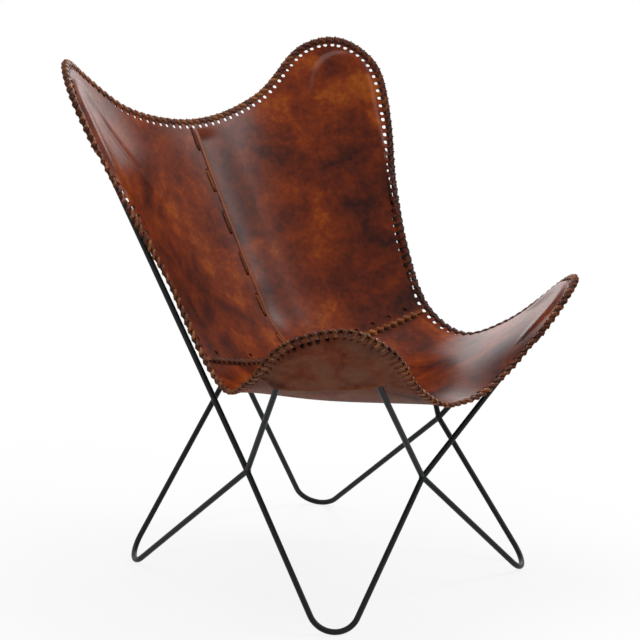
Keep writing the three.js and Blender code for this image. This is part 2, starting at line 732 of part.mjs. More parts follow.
/** The stretch of rim that a pocket shares, as walk numbers from one end of its mouth to the other. */
function pocketStretch(ear) {
  const cornerI = ear.side === "left" ? 0 : LAST_COLUMN;
  const cornerJ = ear.end === "front" ? 0 : LAST_ROW;
  const tip = rim.findIndex((r) => r.i === cornerI && r.j === cornerJ);
  const sideRun = ear.end === "front" ? FRONT_POCKET_SIDE_RUN : REAR_POCKET_SIDE_RUN;
  const edgeRun = ear.end === "front" ? FRONT_POCKET_EDGE_RUN : REAR_POCKET_TOP_RUN;
  const stepsWithin = (run, step) => {
    let count = 0;
    let reach = 0;
    while (reach < run) {
      reach += rimAt(tip + count).edge.distanceTo(rimAt(tip + count + step).edge);
      count += step;
    }
    return count;
  };
  // The walk comes to a left front ear and a right rear ear along the side
  const sideFirst = (ear.end === "front") === (ear.side === "left");
  return {
    first: tip + stepsWithin(sideFirst ? sideRun : edgeRun, -1),
    last: tip + stepsWithin(sideFirst ? edgeRun : sideRun, 1),
  };
}

/** A margin point's match on the pocket, right under the sling's margin. */
function underMargin(ear, point, normal) {
  return along(point, ear.normal, -HALF_LEATHER / normal.dot(ear.normal) - 1.5 * GAP - HALF_LEATHER);
}

/** Where the pocket has come down from a margin point to pass under the rod: the lower, the further in. */
function underRod(ear, { edge, band, bandNormal }) {
  const over = (p) => p.clone().sub(ear.tip).dot(ear.normal);
  const height = over(underMargin(ear, band, bandNormal));
  const room = rodDistance(along(band, ear.normal, -over(band)), ear.path) - OVER_ROD - 2 * GAP;
  const inward = along(band, ear.normal, over(edge) - over(band)).sub(edge).normalize();
  const point = along(band, inward, Math.min(room, RISE_WIDTH - MARGIN_WIDTH + Math.max(0, height)));
  return along(point, ear.normal, -over(point) - OVER_ROD);
}

/** An ear pocket: flat under the rod, laced to the sling's margin all round, open at its mouth. */
function buildPocket(ear) {
  const inEar = (p) => {
    const offset = p.clone().sub(ear.tip);
    return new THREE.Vector2(offset.dot(ear.across), offset.dot(ear.outward));
  };
  const stations = [];
  for (let k = ear.stretch.first; k <= ear.stretch.last; k++) stations.push(rimAt(k));
  const reversed = THREE.ShapeUtils.isClockWise(stations.map(({ edge }) => inEar(edge)));
  if (reversed) stations.reverse();
  const count = stations.length;
  const inner = stations.map((station) => underRod(ear, station));
  const mouth = new THREE.QuadraticBezierCurve3(
    inner.at(-1),
    along(mix(inner[0], inner.at(-1), 0.5), ear.outward, -2 * POCKET_MOUTH_SAG),
    inner[0],
  );
  const flat = [...inner, ...mouth.getPoints(MOUTH_STEPS).slice(1, -1)];
  const points = [
    ...stations.map(({ edge, normal }) => underMargin(ear, edge, normal)),
    ...stations.map(({ band, bandNormal }) => underMargin(ear, band, bandNormal)),
    ...flat,
  ];
  const start = 2 * count;
  const upper = THREE.ShapeUtils.triangulateShape(flat.map(inEar), []).map((t) => t.map((k) => k + start));
  for (let k = 1; k < count; k++) {
    // The margin is faceted as the sling's margin over it
    const crossed = reversed ? !stations[k - 1].earAhead : stations[k].earAhead;
    const [a, b, c, d] = [k - 1, k, count + k, count + k - 1];
    upper.push(...(crossed ? [[a, b, d], [b, c, d]] : [[a, b, c], [a, c, d]]));
    upper.push([d, c, count + c], [d, count + c, count + d]);
  }
  const border = [...stations.keys(), 2 * count - 1];
  for (let k = count - 1; k < flat.length; k++) border.push(start + k);
  border.push(start, count);
  const under = points.length;
  const positions = [HALF_LEATHER, -HALF_LEATHER].flatMap((height) =>
    points.flatMap((p) => along(p, ear.normal, height).toArray()),
  );
  const faces = upper.flatMap(([a, b, c]) => [a, b, c, a + under, c + under, b + under]);
  border.forEach((a, k) => {
    const b = border[(k + 1) % border.length];
    faces.push(b, a, a + under, b, a + under, b + under);
  });
  addPiece(`ear_pocket_${ear.end}_${ear.side}`, facingOut(meshOf(positions, faces)), hide());
}

/** The section of the edge lace at a rim point: a channel over the margins of the sling and any pocket. */
function edgeLaceSection(k, ear) {
  const { edge, band, normal, bandNormal } = rimAt(k);
  const clear = HALF_LEATHER + GAP;
  const out = unit(band, edge);
  const innerLip = along(band, bandNormal, clear);
  const innerTop = along(along(edge, normal, clear), out, GAP);
  const underEdge = ear ? underMargin(ear, edge, normal) : edge;
  const underBand = ear ? underMargin(ear, band, bandNormal) : band;
  const down = (ear ? ear.normal : normal).clone().negate();
  const lipDown = (ear ? ear.normal : bandNormal).clone().negate();
  const outerLip = along(underBand, lipDown, clear);
  const outerTop = along(along(underEdge, down, clear), out, GAP);
  const shoulder = LACE / 2;
  return [
    innerLip,
    innerTop,
    outerTop,
    outerLip,
    along(outerLip, lipDown, LACE),
    along(along(outerTop, down, LACE), out, shoulder),
    along(mix(innerTop, outerTop, 0.5), out, LACE),
    along(along(innerTop, normal, LACE), out, shoulder),
    along(innerLip, bandNormal, LACE),
  ];
}

/** A run of edge lace between two rim points, drawn back a little at both ends from its neighbours. */
function edgeLace(name, first, last, ear) {
  const sections = [];
  for (let k = first; k <= last; k++) sections.push(edgeLaceSection(k, ear));
  const draw = (section, next) => section.map((p, m) => along(p, unit(p, next[m]), GAP));
  const front = draw(sections[0], sections[1]);
  const back = draw(sections.at(-1), sections.at(-2));
  sections[0] = front;
  sections[sections.length - 1] = back;
  // The channel's two inner walls are faceted as the leather under them
  const crossed = (k, m) => (m < 2 ? !rimAt(first + k).earAhead : rimAt(first + k).earAhead);
  addPiece(name, sectionBar(sections, crossed), lace());
}

function buildPocketsAndEdgeLaces() {
  for (const ear of ears) ear.stretch = pocketStretch(ear);
  for (const ear of ears) {
    buildPocket(ear);
    edgeLace(`ear_lacing_${ear.end}_${ear.side}`, ear.stretch.first, ear.stretch.last, ear);
  }
  const find = (end, side) => ears.find((ear) => ear.end === end && ear.side === side).stretch;
  const runs = [
    { name: "front_edge_lacing", from: find("front", "left"), to: find("front", "right") },
    { name: "side_edge_lacing_right", from: find("front", "right"), to: find("rear", "right") },
    { name: "top_edge_lacing", from: find("rear", "right"), to: find("rear", "left") },
    { name: "side_edge_lacing_left", from: find("rear", "left"), to: find("front", "left") },
  ];
  for (const { name, from, to } of runs) {
    const last = to.first < from.last ? to.first + rim.length : to.first;
    edgeLace(name, from.last, last, null);
  }
}

/** A low round bead on the sling's inner face, over the line from a to b by way of the middle point. */
function beadSection(a, middle, b, up) {
  const foot = HALF_LEATHER + SEAM_GAP;
  return [
    along(a, up, foot),
    along(middle, up, foot),
    along(b, up, foot),
    along(mix(b, middle, 0.3), up, foot + LACE),
    along(middle, up, foot + 1.3 * LACE),
    along(mix(a, middle, 0.3), up, foot + LACE),
  ];
}

function buildSeamLaces() {
  const crossSection = (i) => {
    const p = sheet[i][SEAM_ROW];
    const seat = sheet[i][SEAM_ROW - 1];
    const back = sheet[i][SEAM_ROW + 1];
    const half = SEAM_LACE_WIDTH / 2;
    const [a, b] = [seat, back].map((side) => along(p, unit(p, side), half));
    return beadSection(a, p, b, normals[i][SEAM_ROW]);
  };
  const columns = (from, to) => Array.from({ length: to - from + 1 }, (_, k) => crossSection(from + k));
  addPiece("cross_seam_lacing_left", sectionBar(columns(BANDS + 1, SEAM_COLUMN - 1)), lace());
  addPiece("cross_seam_lacing_right", sectionBar(columns(SEAM_COLUMN + 1, LAST_COLUMN - BANDS - 1)), lace());
  const rows = [];
  for (let j = SEAM_ROW + 1; j < LAST_ROW - BANDS; j++) {
    const p = sheet[SEAM_COLUMN][j];
    const toLeft = unit(p, sheet[SEAM_COLUMN - 1][j]);
    const half = STITCH_LACE_WIDTH / 2;
    const [a, middle, b] = [1, 0, -1].map((k) => along(p, toLeft, STITCH_LACE_INSET + k * half));
    const up = mix(normals[SEAM_COLUMN][j], normals[SEAM_COLUMN - 1][j], 0.5).normalize();
    rows.push(beadSection(a, middle, b, up));
  }
  addPiece("centre_seam_lacing", sectionBar(rows), lace());
}

buildFrame();
buildPanels();
buildPocketsAndEdgeLaces();
buildSeamLaces();

export default chair;
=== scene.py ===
"""Visual model of a butterfly sling chair: a welded rod frame with a laced leather sling on its four ears.

Lengths are millimetres in the part's frame, and meshes are written in metres. The floor is Z = 0, the chair
faces -Y, and left is -X. A place on the sling is u from left to right and v from the front edge to the top,
both counted in cells of the sling's grid. A pair of lengths called a fade says where it starts and ends.
"""

import logging
import math
from dataclasses import dataclass, field
from enum import Enum
from typing import ClassVar

import bpy
import numpy as np
from bpy.types import Material, Mesh, Node, NodeSocket, NodeTree, Object
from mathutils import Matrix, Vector
from mathutils.bvhtree import BVHTree
from mathutils.kdtree import KDTree


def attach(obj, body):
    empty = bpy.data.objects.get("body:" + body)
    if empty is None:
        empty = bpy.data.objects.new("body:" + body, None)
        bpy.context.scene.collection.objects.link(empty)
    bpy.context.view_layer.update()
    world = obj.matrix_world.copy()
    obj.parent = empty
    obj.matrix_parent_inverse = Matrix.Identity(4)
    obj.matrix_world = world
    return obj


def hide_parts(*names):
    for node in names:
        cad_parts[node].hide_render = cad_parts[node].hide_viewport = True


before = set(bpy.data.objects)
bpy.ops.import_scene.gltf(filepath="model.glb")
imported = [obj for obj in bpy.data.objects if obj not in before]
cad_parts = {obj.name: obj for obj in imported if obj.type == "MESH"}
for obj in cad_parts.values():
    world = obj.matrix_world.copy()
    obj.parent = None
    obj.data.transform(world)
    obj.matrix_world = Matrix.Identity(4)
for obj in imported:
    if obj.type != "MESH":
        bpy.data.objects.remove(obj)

logging.basicConfig(level=logging.INFO, format="%(message)s")
LOG = logging.getLogger("sling_chair")
Array = np.ndarray
Fade = tuple[float, float]
Triple = tuple[float, float, float]
MM = 0.001
TINY = 1e-12
CURVE_STEPS = 40
SETTLE_STEPS = 20
LEATHER_SHARP = 38.0
LACE_SHARP = 60.0
# The ears in the order in which the rim passes them, and the free run of lace that follows each ear
EARS_ROUND = ("front_left", "front_right", "rear_right", "rear_left")
FREE_RUNS = ("front_edge_lacing", "side_edge_lacing_right", "top_edge_lacing", "side_edge_lacing_left")


class Slot(Enum):
    """The material slots."""

    ROD = "powder_coated_rod"
    SLING = "sling_leather"
    LACE = "lace_leather"


class End(Enum):
    """The two ends of the chair that carry ears."""

    FRONT = "front"
    REAR = "rear"


class Side(Enum):
    """The two sides of the chair."""

    LEFT = "left"
    RIGHT = "right"

    @property
    def sign(self) -> float:
        """The side's sign along X."""
        return -1.0 if self is Side.LEFT else 1.0


class Held(Enum):
    """How a sheet is held."""

    HUNG = "hung"
    STRETCHED = "stretched"


# Small helpers


def unit(vectors: Array) -> Array:
    """Vectors scaled to length one along the last axis."""
    return vectors / np.maximum(np.linalg.norm(vectors, axis=-1, keepdims=True), TINY)


def smoothstep(x: Array, low: float, high: float) -> Array:
    """0 below low, 1 above high, and a smooth rise between them."""
    t = np.clip((x - low) / (high - low), 0.0, 1.0)
    return t * t * (3.0 - 2.0 * t)


def mix(a: Array, b: Array, share: Array) -> Array:
    """The point a given share of the way from a to b."""
    return a + (b - a) * share


def mirrored(points: Array) -> Array:
    """Points reflected in the plane X = 0."""
    return points * np.array([-1.0, 1.0, 1.0])


def linear(colour: str) -> tuple[float, ...]:
    """A colour in sRGB hex as linear RGBA."""
    parts = [int(colour[k : k + 2], 16) / 255.0 for k in (1, 3, 5)]
    return (*(p / 12.92 if p <= 0.04045 else ((p + 0.055) / 1.055) ** 2.4 for p in parts), 1.0)


def reach_along(points: Array) -> Array:
    """How far along a line of points each of them lies."""
    return np.concatenate([[0.0], np.cumsum(np.linalg.norm(np.diff(points, axis=0), axis=1))])


def even(points: Array, count: int) -> Array:
    """A line of points cut into a number of even runs.

    Args:
        points: The line.
        count: The number of runs.

    Returns:
        The ends of the runs, one more than there are runs.
    """
    reach = reach_along(points)
    goals = np.linspace(0.0, reach[-1], count + 1)
    return np.stack([np.interp(goals, reach, points[:, k]) for k in range(3)], axis=1)


def catmull(knots: Array, closed: bool) -> Array:
    """A centripetal Catmull-Rom curve.

    Args:
        knots: The points that it passes through.
        closed: Whether it runs back to the first knot.

    Returns:
        The curve's points, with the last knot, or the first one again, at the end.
    """
    if closed:
        points = np.vstack([knots[-1:], knots, knots[:2]])
    else:
        points = np.vstack([2 * knots[:1] - knots[1:2], knots, 2 * knots[-1:] - knots[-2:-1]])
    f = np.linspace(0.0, 1.0, CURVE_STEPS, endpoint=False)[:, None]
    parts = []
    for a, b, c, d in zip(points, points[1:], points[2:], points[3:]):
        da, db, dc = (math.sqrt(np.linalg.norm(q - p)) for p, q in ((a, b), (b, c), (c, d)))
        rise = ((b - a) / da - (c - a) / (da + db) + (c - b) / db) * db
        fall = ((c - b) / db - (d - b) / (db + dc) + (d - c) / dc) * db
        bend, twist = 3 * (c - b) - 2 * rise - fall, 2 * (b - c) + rise + fall
        parts.append(b + rise * f + bend * f**2 + twist * f**3)
    return np.vstack(parts + [points[-2:-1]])


def line_distance(points: Array, line: Array) -> Array:
    """Measures how far points lie from a line.

    Args:
        points: Triples as rows.
        line: The ends of the line's straight runs.

    Returns:
        One distance for each point.
    """
    least = np.full(len(points), np.inf)
    for a, b in zip(line, line[1:]):
        run = b - a
        share = np.clip((points - a) @ run / (run @ run), 0.0, 1.0)
        least = np.minimum(least, np.linalg.norm(points - a - share[:, None] * run, axis=1))
    return least


def inside_outline(points: Array, outline: Array) -> Array:
    """Tells which flat points lie within a closed flat outline.

    Args:
        points: Triples as rows.
        outline: The outline's corners.

    Returns:
        True or false for each point.
    """
    inside = np.zeros(len(points), bool)
    x, y = points.T
    for (ax, ay), (bx, by) in zip(outline, np.roll(outline, -1, axis=0)):
        crosses = (ay > y) != (by > y)
        at = ax + (y - ay) * (bx - ax) / (by - ay if by != ay else TINY)
        inside ^= crosses & (x < at)
    return inside


def bend_least(grid: Array, given: Array) -> None:
    """Moves the free points of a grid to where the grid bends least.

    Args:
        grid: Triples as columns by rows by three.
        given: Whether each point stays where it is.
    """
    number = np.arange(given.size).reshape(given.shape)
    straight, twist = (1.0, -2.0, 1.0), tuple(math.sqrt(2) * s for s in (1, -1, -1, 1))
    bends = (
        ((number[:-2], number[1:-1], number[2:]), straight),
        ((number[:, :-2], number[:, 1:-1], number[:, 2:]), straight),
        ((number[1:, 1:], number[:-1, 1:], number[1:, :-1], number[:-1, :-1]), twist),
    )
    stiffness = np.zeros((number.size, number.size))
    for places, weights in bends:
        for a, weight_a in zip(places, weights):
            for b, weight_b in zip(places, weights):
                np.add.at(stiffness, (a.ravel(), b.ravel()), weight_a * weight_b)
    held, flat = given.ravel(), grid.reshape(-1, 3)
    pull = -stiffness[np.ix_(~held, held)] @ flat[held]
    flat[~held] = np.linalg.solve(stiffness[np.ix_(~held, ~held)], pull)


def spline_control(grid: Array) -> Array:
    """Finds control points of a cubic spline along the first axis of a grid.

    Args:
        grid: Triples that the spline passes through.

    Returns:
        Control points, with one more than the grid has at each end.
    """
    n = len(grid)
    system = (np.diag(np.full(n, 4.0)) + np.diag(np.ones(n - 1), 1) + np.diag(np.ones(n - 1), -1)) / 6.0
    system[[0, -1]] = 0.0
    system[0, 0] = system[-1, -1] = 1.0
    inner = np.linalg.solve(system, grid.reshape(n, -1)).reshape(grid.shape)
    return np.concatenate([2 * inner[:1] - inner[1:2], inner, 2 * inner[-1:] - inner[-2:-1]])


def spline_weights(places: Array, last: int) -> tuple[Array, tuple[Array, ...]]:
    """Finds how much four control points count at places along a cubic spline.

    Args:
        places: Places, counted in cells.
        last: The number of cells.

    Returns:
        The number of the first of the four points, and the weight of each of the four.
    """
    cell = np.clip(np.floor(places).astype(int), 0, last - 1)
    f = places - cell
    inner = (3 * f**3 - 6 * f**2 + 4) / 6, (-3 * f**3 + 3 * f**2 + 3 * f + 1) / 6
    return cell, ((1 - f) ** 3 / 6, *inner, f**3 / 6)


# Meshes and objects


def add_object(name: str, vertices: Array, faces: list, smooth_angle: float | None = 40.0) -> Object:
    """Adds a mesh object at the origin.

    Args:
        name: The piece's name.
        vertices: Corner positions in millimetres.
        faces: Corner numbers of each face.
        smooth_angle: Edges sharper than this many degrees stay sharp.

    Returns:
        The new object.
    """
    mesh = bpy.data.meshes.new(name)
    mesh.from_pydata((np.asarray(vertices) * MM).tolist(), [], faces)
    face_outward(mesh)
    if smooth_angle is not None:
        shade(mesh, smooth_angle)
    return link_object(name, mesh)


def link_object(name: str, data: bpy.types.ID) -> Object:
    """Adds an object that shows a mesh, a light or a camera.

    Args:
        name: The object's name.
        data: What it shows.

    Returns:
        The new object.
    """
    item = bpy.data.objects.new(name, data)
    bpy.context.collection.objects.link(item)
    return item


def mesh_points(mesh: Mesh) -> Array:
    """Reads a mesh's vertices.

    Args:
        mesh: The mesh.

    Returns:
        Points as rows, in metres.
    """
    points = np.empty(len(mesh.vertices) * 3)
    mesh.vertices.foreach_get("co", points)
    return points.reshape(-1, 3)


def face_outward(mesh: Mesh) -> None:
    """Turns a closed mesh's faces outward if they look inward.

    Args:
        mesh: The mesh.
    """
    points = mesh_points(mesh)
    mesh.calc_loop_triangles()
    corners = np.empty(len(mesh.loop_triangles) * 3, np.int32)
    mesh.loop_triangles.foreach_get("vertices", corners)
    a, b, c = (points[corners[k::3]] for k in range(3))
    if np.einsum("ij,ij->i", a, np.cross(b, c)).sum() < 0:
        mesh.flip_normals()


def shade(mesh: Mesh, angle: float) -> None:
    """Smooth shading that keeps edges sharper than an angle in degrees."""
    mesh.shade_smooth()
    mesh.set_sharp_from_angle(angle=math.radians(angle))


def drop(piece: Object) -> None:
    """Removes a helper object and its mesh.

    Args:
        piece: The helper.
    """
    mesh = piece.data
    bpy.data.objects.remove(piece)
    bpy.data.meshes.remove(mesh)


def baked(host: Object) -> Mesh:
    """Keeps what an object's modifiers make of it, and removes them.

    Args:
        host: The object.

    Returns:
        A plain mesh.
    """
    graph = bpy.context.evaluated_depsgraph_get()
    mesh = bpy.data.meshes.new_from_object(host.evaluated_get(graph))
    host.modifiers.clear()
    return mesh


def register(piece: Object, node: str, slot: Slot) -> None:
    """Registers a piece on the part's one body.

    Args:
        piece: The piece.
        node: The CAD node that it stands for.
        slot: Its material slot.
    """
    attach(piece, "root")
    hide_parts(node)
    LOG.info("%s: %s with %d faces", slot.value, piece.name, len(piece.data.polygons))


def grid_faces(columns: int, rows: int, start: int = 0, turned: bool = False) -> list[tuple[int, ...]]:
    """Lists the squares of a grid of points stored column by column.

    Args:
        columns: Triples across.
        rows: Triples along.
        start: The number of the first point.
        turned: Whether the squares look the other way.

    Returns:
        Corner numbers of each square.
    """
    faces = []
    for i in range(columns - 1):
        for j in range(rows - 1):
            a = start + i * rows + j
            square = (a, a + rows, a + rows + 1, a + 1)
            faces.append(square[::-1] if turned else square)
    return faces


def tube_faces(rings: int, sides: int) -> list[tuple[int, ...]]:
    """Lists the faces of a tube with closed ends.

    Args:
        rings: Rings of points along the tube.
        sides: Triples in each ring.

    Returns:
        Corner numbers of each face.
    """
    faces = []
    for k in range(rings - 1):
        for m in range(sides):
            a, b = k * sides + m, k * sides + (m + 1) % sides
            faces.append((a, b, b + sides, a + sides))
    last = rings * sides - 1
    return faces + [tuple(range(sides)), tuple(range(last, last - sides, -1))]


def closed_sheet(middle: Array, normals: Array, thickness: float) -> tuple[Array, list]:
    """Lays a closed sheet round a grid of middle points.

    Args:
        middle: Triples as columns by rows by three.
        normals: Their unit normals.
        thickness: The sheet's thickness.

    Returns:
        Vertices and faces.
    """
    columns, rows = middle.shape[:2]
    count = columns * rows
    layers = [(middle + normals * side * thickness / 2).reshape(-1, 3) for side in (1, -1)]
    faces = grid_faces(columns, rows) + grid_faces(columns, rows, count, turned=True)
    border = [i * rows for i in range(columns)]
    border += [(columns - 1) * rows + j for j in range(1, rows)]
    border += [i * rows + rows - 1 for i in range(columns - 2, -1, -1)]
    border += list(range(rows - 2, 0, -1))
    faces += [(b, a, a + count, b + count) for a, b in zip(border, border[1:] + border[:1])]
    return np.vstack(layers), faces


# Node trees and finishes


def add_node(tree: NodeTree, kind: str, settings: dict | None = None, **links: NodeSocket) -> Node:
    """Adds a node.

    Args:
        tree: A shader or geometry node tree.
        kind: The node's type.
        settings: Its properties by name, its inputs' values by name or number, and a ramp's stops.
        **links: Sockets that feed its inputs, by name with underscores for spaces, or by n and a number.

    Returns:
        The new node.
    """
    node = tree.nodes.new(kind)
    for key, value in (settings or {}).items():
        if key == "stops":
            elements = node.color_ramp.elements
            while len(elements) < len(value):
                elements.new(0.5)
            for element, (place, colour) in zip(elements, value):
                element.position = place
                element.color = linear(colour)
        elif isinstance(key, str) and hasattr(node, key):
            setattr(node, key, value)
        else:
            node.inputs[key].default_value = value
    for key, socket in links.items():
        name = key.replace("_", " ")
        place = int(name[1:]) if name[:1] == "n" and name[1:].isdigit() else name
        tree.links.new(socket, node.inputs[place])
    return node


def new_material(name: str, values: dict) -> tuple[Material, NodeTree, Node]:
    """Makes a material.

    Args:
        name: The real material's name.
        values: Constants of its surface shader, by socket.

    Returns:
        The material, its tree and its surface shader.
    """
    material = bpy.data.materials.new(name)
    material.use_nodes = True
    shader = material.node_tree.nodes["Principled BSDF"]
    for key, value in values.items():
        shader.inputs[key].default_value = value
    return material, material.node_tree, shader


@dataclass(frozen=True)
class PowderCoat:
    """Black powder coat on steel: near-black satin with a very fine orange-peel."""

    # Powder sprayed on and baked: the eye gets near black, with soft grey lines of light along each rod
    colour: str = "#111516"
    roughness: float = 0.46
    specular: float = 0.2
    peel_mm: float = 1.1
    peel_depth_mm: float = 0.2
    peel_strength: float = 0.12

    def material(self) -> Material:
        """Builds the material.

        Returns:
            A satin black that shows a soft, slightly broken highlight along the rods.
        """
        values = {
            "Base Color": linear(self.colour),
            "Roughness": self.roughness,
            "Specular IOR Level": self.specular,
        }
        material, tree, shader = new_material("black powder coat", values)
        place = add_node(tree, "ShaderNodeTexCoord").outputs["Object"]
        settings = {"Scale": 1 / (self.peel_mm * MM), "Detail": 1.0}
        peel = add_node(tree, "ShaderNodeTexNoise", settings, Vector=place).outputs["Fac"]
        settings = {"Strength": self.peel_strength, "Distance": self.peel_depth_mm * MM}
        bump = add_node(tree, "ShaderNodeBump", settings, Height=peel)
        tree.links.new(bump.outputs["Normal"], shader.inputs["Normal"])
        return material


@dataclass(frozen=True)
class WaxedLeather:
    """Waxed full-grain leather: hand-rubbed brown with orange patches and chocolate clouds."""

    # Hide rubbed with wax by hand: the eye gets cloudy browns under a soft shine, paler where edges wear
    # The pebbled grain is drawn a little coarser than a real hide's, so that it shows
    dark: str = "#300c03"
    middle: str = "#5a1f09"
    warm: str = "#7a2f0b"
    bright: str = "#a05014"
    raw_edge: str = "#8c4c1c"
    flesh: str = "#6e4d3c"
    # The hole tint is painted shade inside the blind holes
    hole: str = "#0d0503"
    cloud_mm: float = 130.0
    blotch_mm: float = 46.0
    speck_mm: float = 9.0
    crease_mm: float = 30.0
    grain_mm: float = 1.7
    blotch_share: float = 0.42
    speck_share: float = 0.16
    flesh_share: tuple[float, float] = (0.15, 0.8)
    roughness: float = 0.6
    wax: float = 0.46
    outer_wax: float = 0.184
    wax_roughness: float = 0.28
    wax_ior: float = 1.35

    def material(self) -> Material:
        """Builds the material.

        Returns:
            Mottled leather: clouds and blotches of tone, pale worn edges, a patchy dull outer side, painted
            shade inside the holes, a fine pebbled grain and a waxy sheen.
        """
        values = {
            "Roughness": self.roughness,
            "Specular IOR Level": 0.0,
            "Coat Roughness": self.wax_roughness,
            "Coat IOR": self.wax_ior,
        }
        material, tree, shader = new_material("waxed brown leather", values)
        place = add_node(tree, "ShaderNodeTexCoord").outputs["Object"]
        # Size in millimetres, detail, roughness and warp of each noise
        kinds = (
            (self.cloud_mm, 3.0, 0.55, 0.6),
            (self.blotch_mm, 5.0, 0.62, 0.4),
            (self.speck_mm, 3.0, 0.6, 0.0),
            (self.crease_mm, 4.0, 0.55, 1.2),
        )
        noises = []
        for size, detail, rough, warp in kinds:
            settings = {"Scale": 1 / (size * MM), "Detail": detail, "Roughness": rough, "Distortion": warp}
            noises.append(add_node(tree, "ShaderNodeTexNoise", settings, Vector=place).outputs["Fac"])
        tone, blotches, specks, creases = noises
        for noise, share in ((blotches, self.blotch_share), (specks, self.speck_share)):
            settings = {"data_type": "RGBA", "Factor": share}
            tone = add_node(tree, "ShaderNodeMix", settings, n6=tone, n7=noise).outputs[2]
        stops = ((0.38, self.dark), (0.47, self.middle), (0.56, self.warm), (0.66, self.bright))
        colour = add_node(tree, "ShaderNodeValToRGB", {"stops": stops}, Fac=tone).outputs["Color"]

        # Worn edges and the outer side are marked on the mesh, and so are the holes, whose insides get
        # painted shade
        wear, outer, hole = (
            add_node(tree, "ShaderNodeAttribute", {"attribute_name": name}).outputs["Fac"]
            for name in ("wear", "outer", "hole")
        )
        low, high = self.flesh_share
        settings = {"From Min": 0.36, "From Max": 0.62, "To Min": low, "To Max": high}
        patchy = add_node(tree, "ShaderNodeMapRange", settings, Value=blotches).outputs[0]
        dull = add_node(tree, "ShaderNodeMath", {"operation": "MULTIPLY"}, n0=patchy, n1=outer).outputs[0]
        for mark, tint in ((wear, self.raw_edge), (dull, self.flesh), (hole, self.hole)):
            settings = {"data_type": "RGBA", 7: linear(tint)}
            colour = add_node(tree, "ShaderNodeMix", settings, Factor=mark, n6=colour).outputs[2]
        tree.links.new(colour, shader.inputs["Base Color"])

        settings = {"To Min": self.wax, "To Max": self.outer_wax}
        wax = add_node(tree, "ShaderNodeMapRange", settings, Value=outer).outputs[0]
        tree.links.new(wax, shader.inputs["Coat Weight"])
        settings = {"feature": "SMOOTH_F1", "Scale": 1 / (self.grain_mm * MM), "Smoothness": 0.6}
        grain = add_node(tree, "ShaderNodeTexVoronoi", settings, Vector=place).outputs["Distance"]
        settings = {"Strength": 0.22, "Distance": 0.4 * MM}
        normal = add_node(tree, "ShaderNodeBump", settings, Height=grain).outputs["Normal"]
        settings = {"Strength": 0.25, "Distance": 4.0 * MM}
        normal = add_node(tree, "ShaderNodeBump", settings, Height=creases, Normal=normal).outputs["Normal"]
        tree.links.new(normal, shader.inputs["Normal"])
        return material


@dataclass(frozen=True)
class LaceLeather:
    """Cut lace of the same hide: each strand a little paler or darker than the next."""

    # Thongs cut from the hide: the eye gets single strands, because each has its own tone
    # The fibres are drawn coarser than real ones, so that they show
    dark: str = "#160803"
    middle: str = "#52230e"
    pale: str = "#9c5d2c"
    roughness: float = 0.42
    specular: float = 0.15
    fibre_mm: float = 2.2
    fibre_share: float = 0.3

    def material(self) -> Material:
        """Builds the material.

        Returns:
            Strands that differ in tone from one to the next, so the lacing reads as single thongs; the darker
            tones of the under strands and of two runs in shade are painted shade.
        """
        values = {"Roughness": self.roughness, "Specular IOR Level": self.specular}
        material, tree, shader = new_material("brown lace leather", values)
        place = add_node(tree, "ShaderNodeTexCoord").outputs["Object"]
        settings = {"Scale": 1 / (self.fibre_mm * MM), "Detail": 2.0}
        fibre = add_node(tree, "ShaderNodeTexNoise", settings, Vector=place).outputs["Fac"]
        # The tone holds each strand's own tone and painted shade: darker on the under strands and on two runs
        # in shade
        tone = add_node(tree, "ShaderNodeAttribute", {"attribute_name": "tone"}).outputs["Fac"]
        settings = {"data_type": "RGBA", "Factor": self.fibre_share}
        mixed = add_node(tree, "ShaderNodeMix", settings, n6=tone, n7=fibre).outputs[2]
        stops = ((0.1, self.dark), (0.5, self.middle), (0.9, self.pale))
        colour = add_node(tree, "ShaderNodeValToRGB", {"stops": stops}, Fac=mixed).outputs["Color"]
        tree.links.new(colour, shader.inputs["Base Color"])
        bump = add_node(tree, "ShaderNodeBump", {"Strength": 0.3, "Distance": 0.4 * MM}, Height=fibre)
        tree.links.new(bump.outputs["Normal"], shader.inputs["Normal"])
        return material


# Rod frame


@dataclass(frozen=True)
class Hairpin:
    """One rod with one round bend: straight, bend, straight."""

    name: str
    start: Array
    corner: Array
    end: Array
    radius: float
    bend_steps: int = 36

    def line(self) -> Array:
        """Finds the rod's centre line.

        Returns:
            Points from start to end.
        """
        to_start, to_end = unit(self.start - self.corner), unit(self.end - self.corner)
        half = math.acos(float(np.clip(to_start @ to_end, -1, 1))) / 2
        centre = self.corner + unit(to_start + to_end) * self.radius / math.sin(half)
        first = self.corner + to_start * self.radius / math.tan(half)
        angles = np.linspace(0.0, math.pi - 2 * half, self.bend_steps + 1)[:, None]
        bend = centre + self.radius * (np.cos(angles) * unit(first - centre) - np.sin(angles) * to_start)
        return np.vstack([self.start, bend, self.end])


@dataclass(frozen=True)
class Ear:
    """An ear of the frame with its own axes: out along it, across to the side rod, and up to the sitter."""

    end: End
    side: Side
    tip: Array
    radius: float
    out: Array
    across: Array
    normal: Array
    line: Array

    @property
    def name(self) -> str:
        """The ear's end and side, as they stand in the names of its pieces."""
        return f"{self.end.value}_{self.side.value}"

    def flat(self, points: Array) -> Array:
        """Points in the ear's plane, as across and out."""
        offset = points - self.tip
        return np.stack([offset @ self.across, offset @ self.out], axis=-1)

    def height(self, points: Array) -> Array:
        """Heights of points over the ear's plane."""
        return (points - self.tip) @ self.normal

    def solid(self, flat: Array, height: Array) -> Array:
        """Points in space from points of the ear's plane and heights over it."""
        level = self.tip + flat[..., :1] * self.across + flat[..., 1:] * self.out
        return level + height[..., None] * self.normal


@dataclass(frozen=True)
class EndPlan:
    """One end of the frame: its joint, foot and ear tip as shares of its sizes, and its ear's bend."""

    joint: Triple
    foot: Triple
    tip: Triple
    bend: float


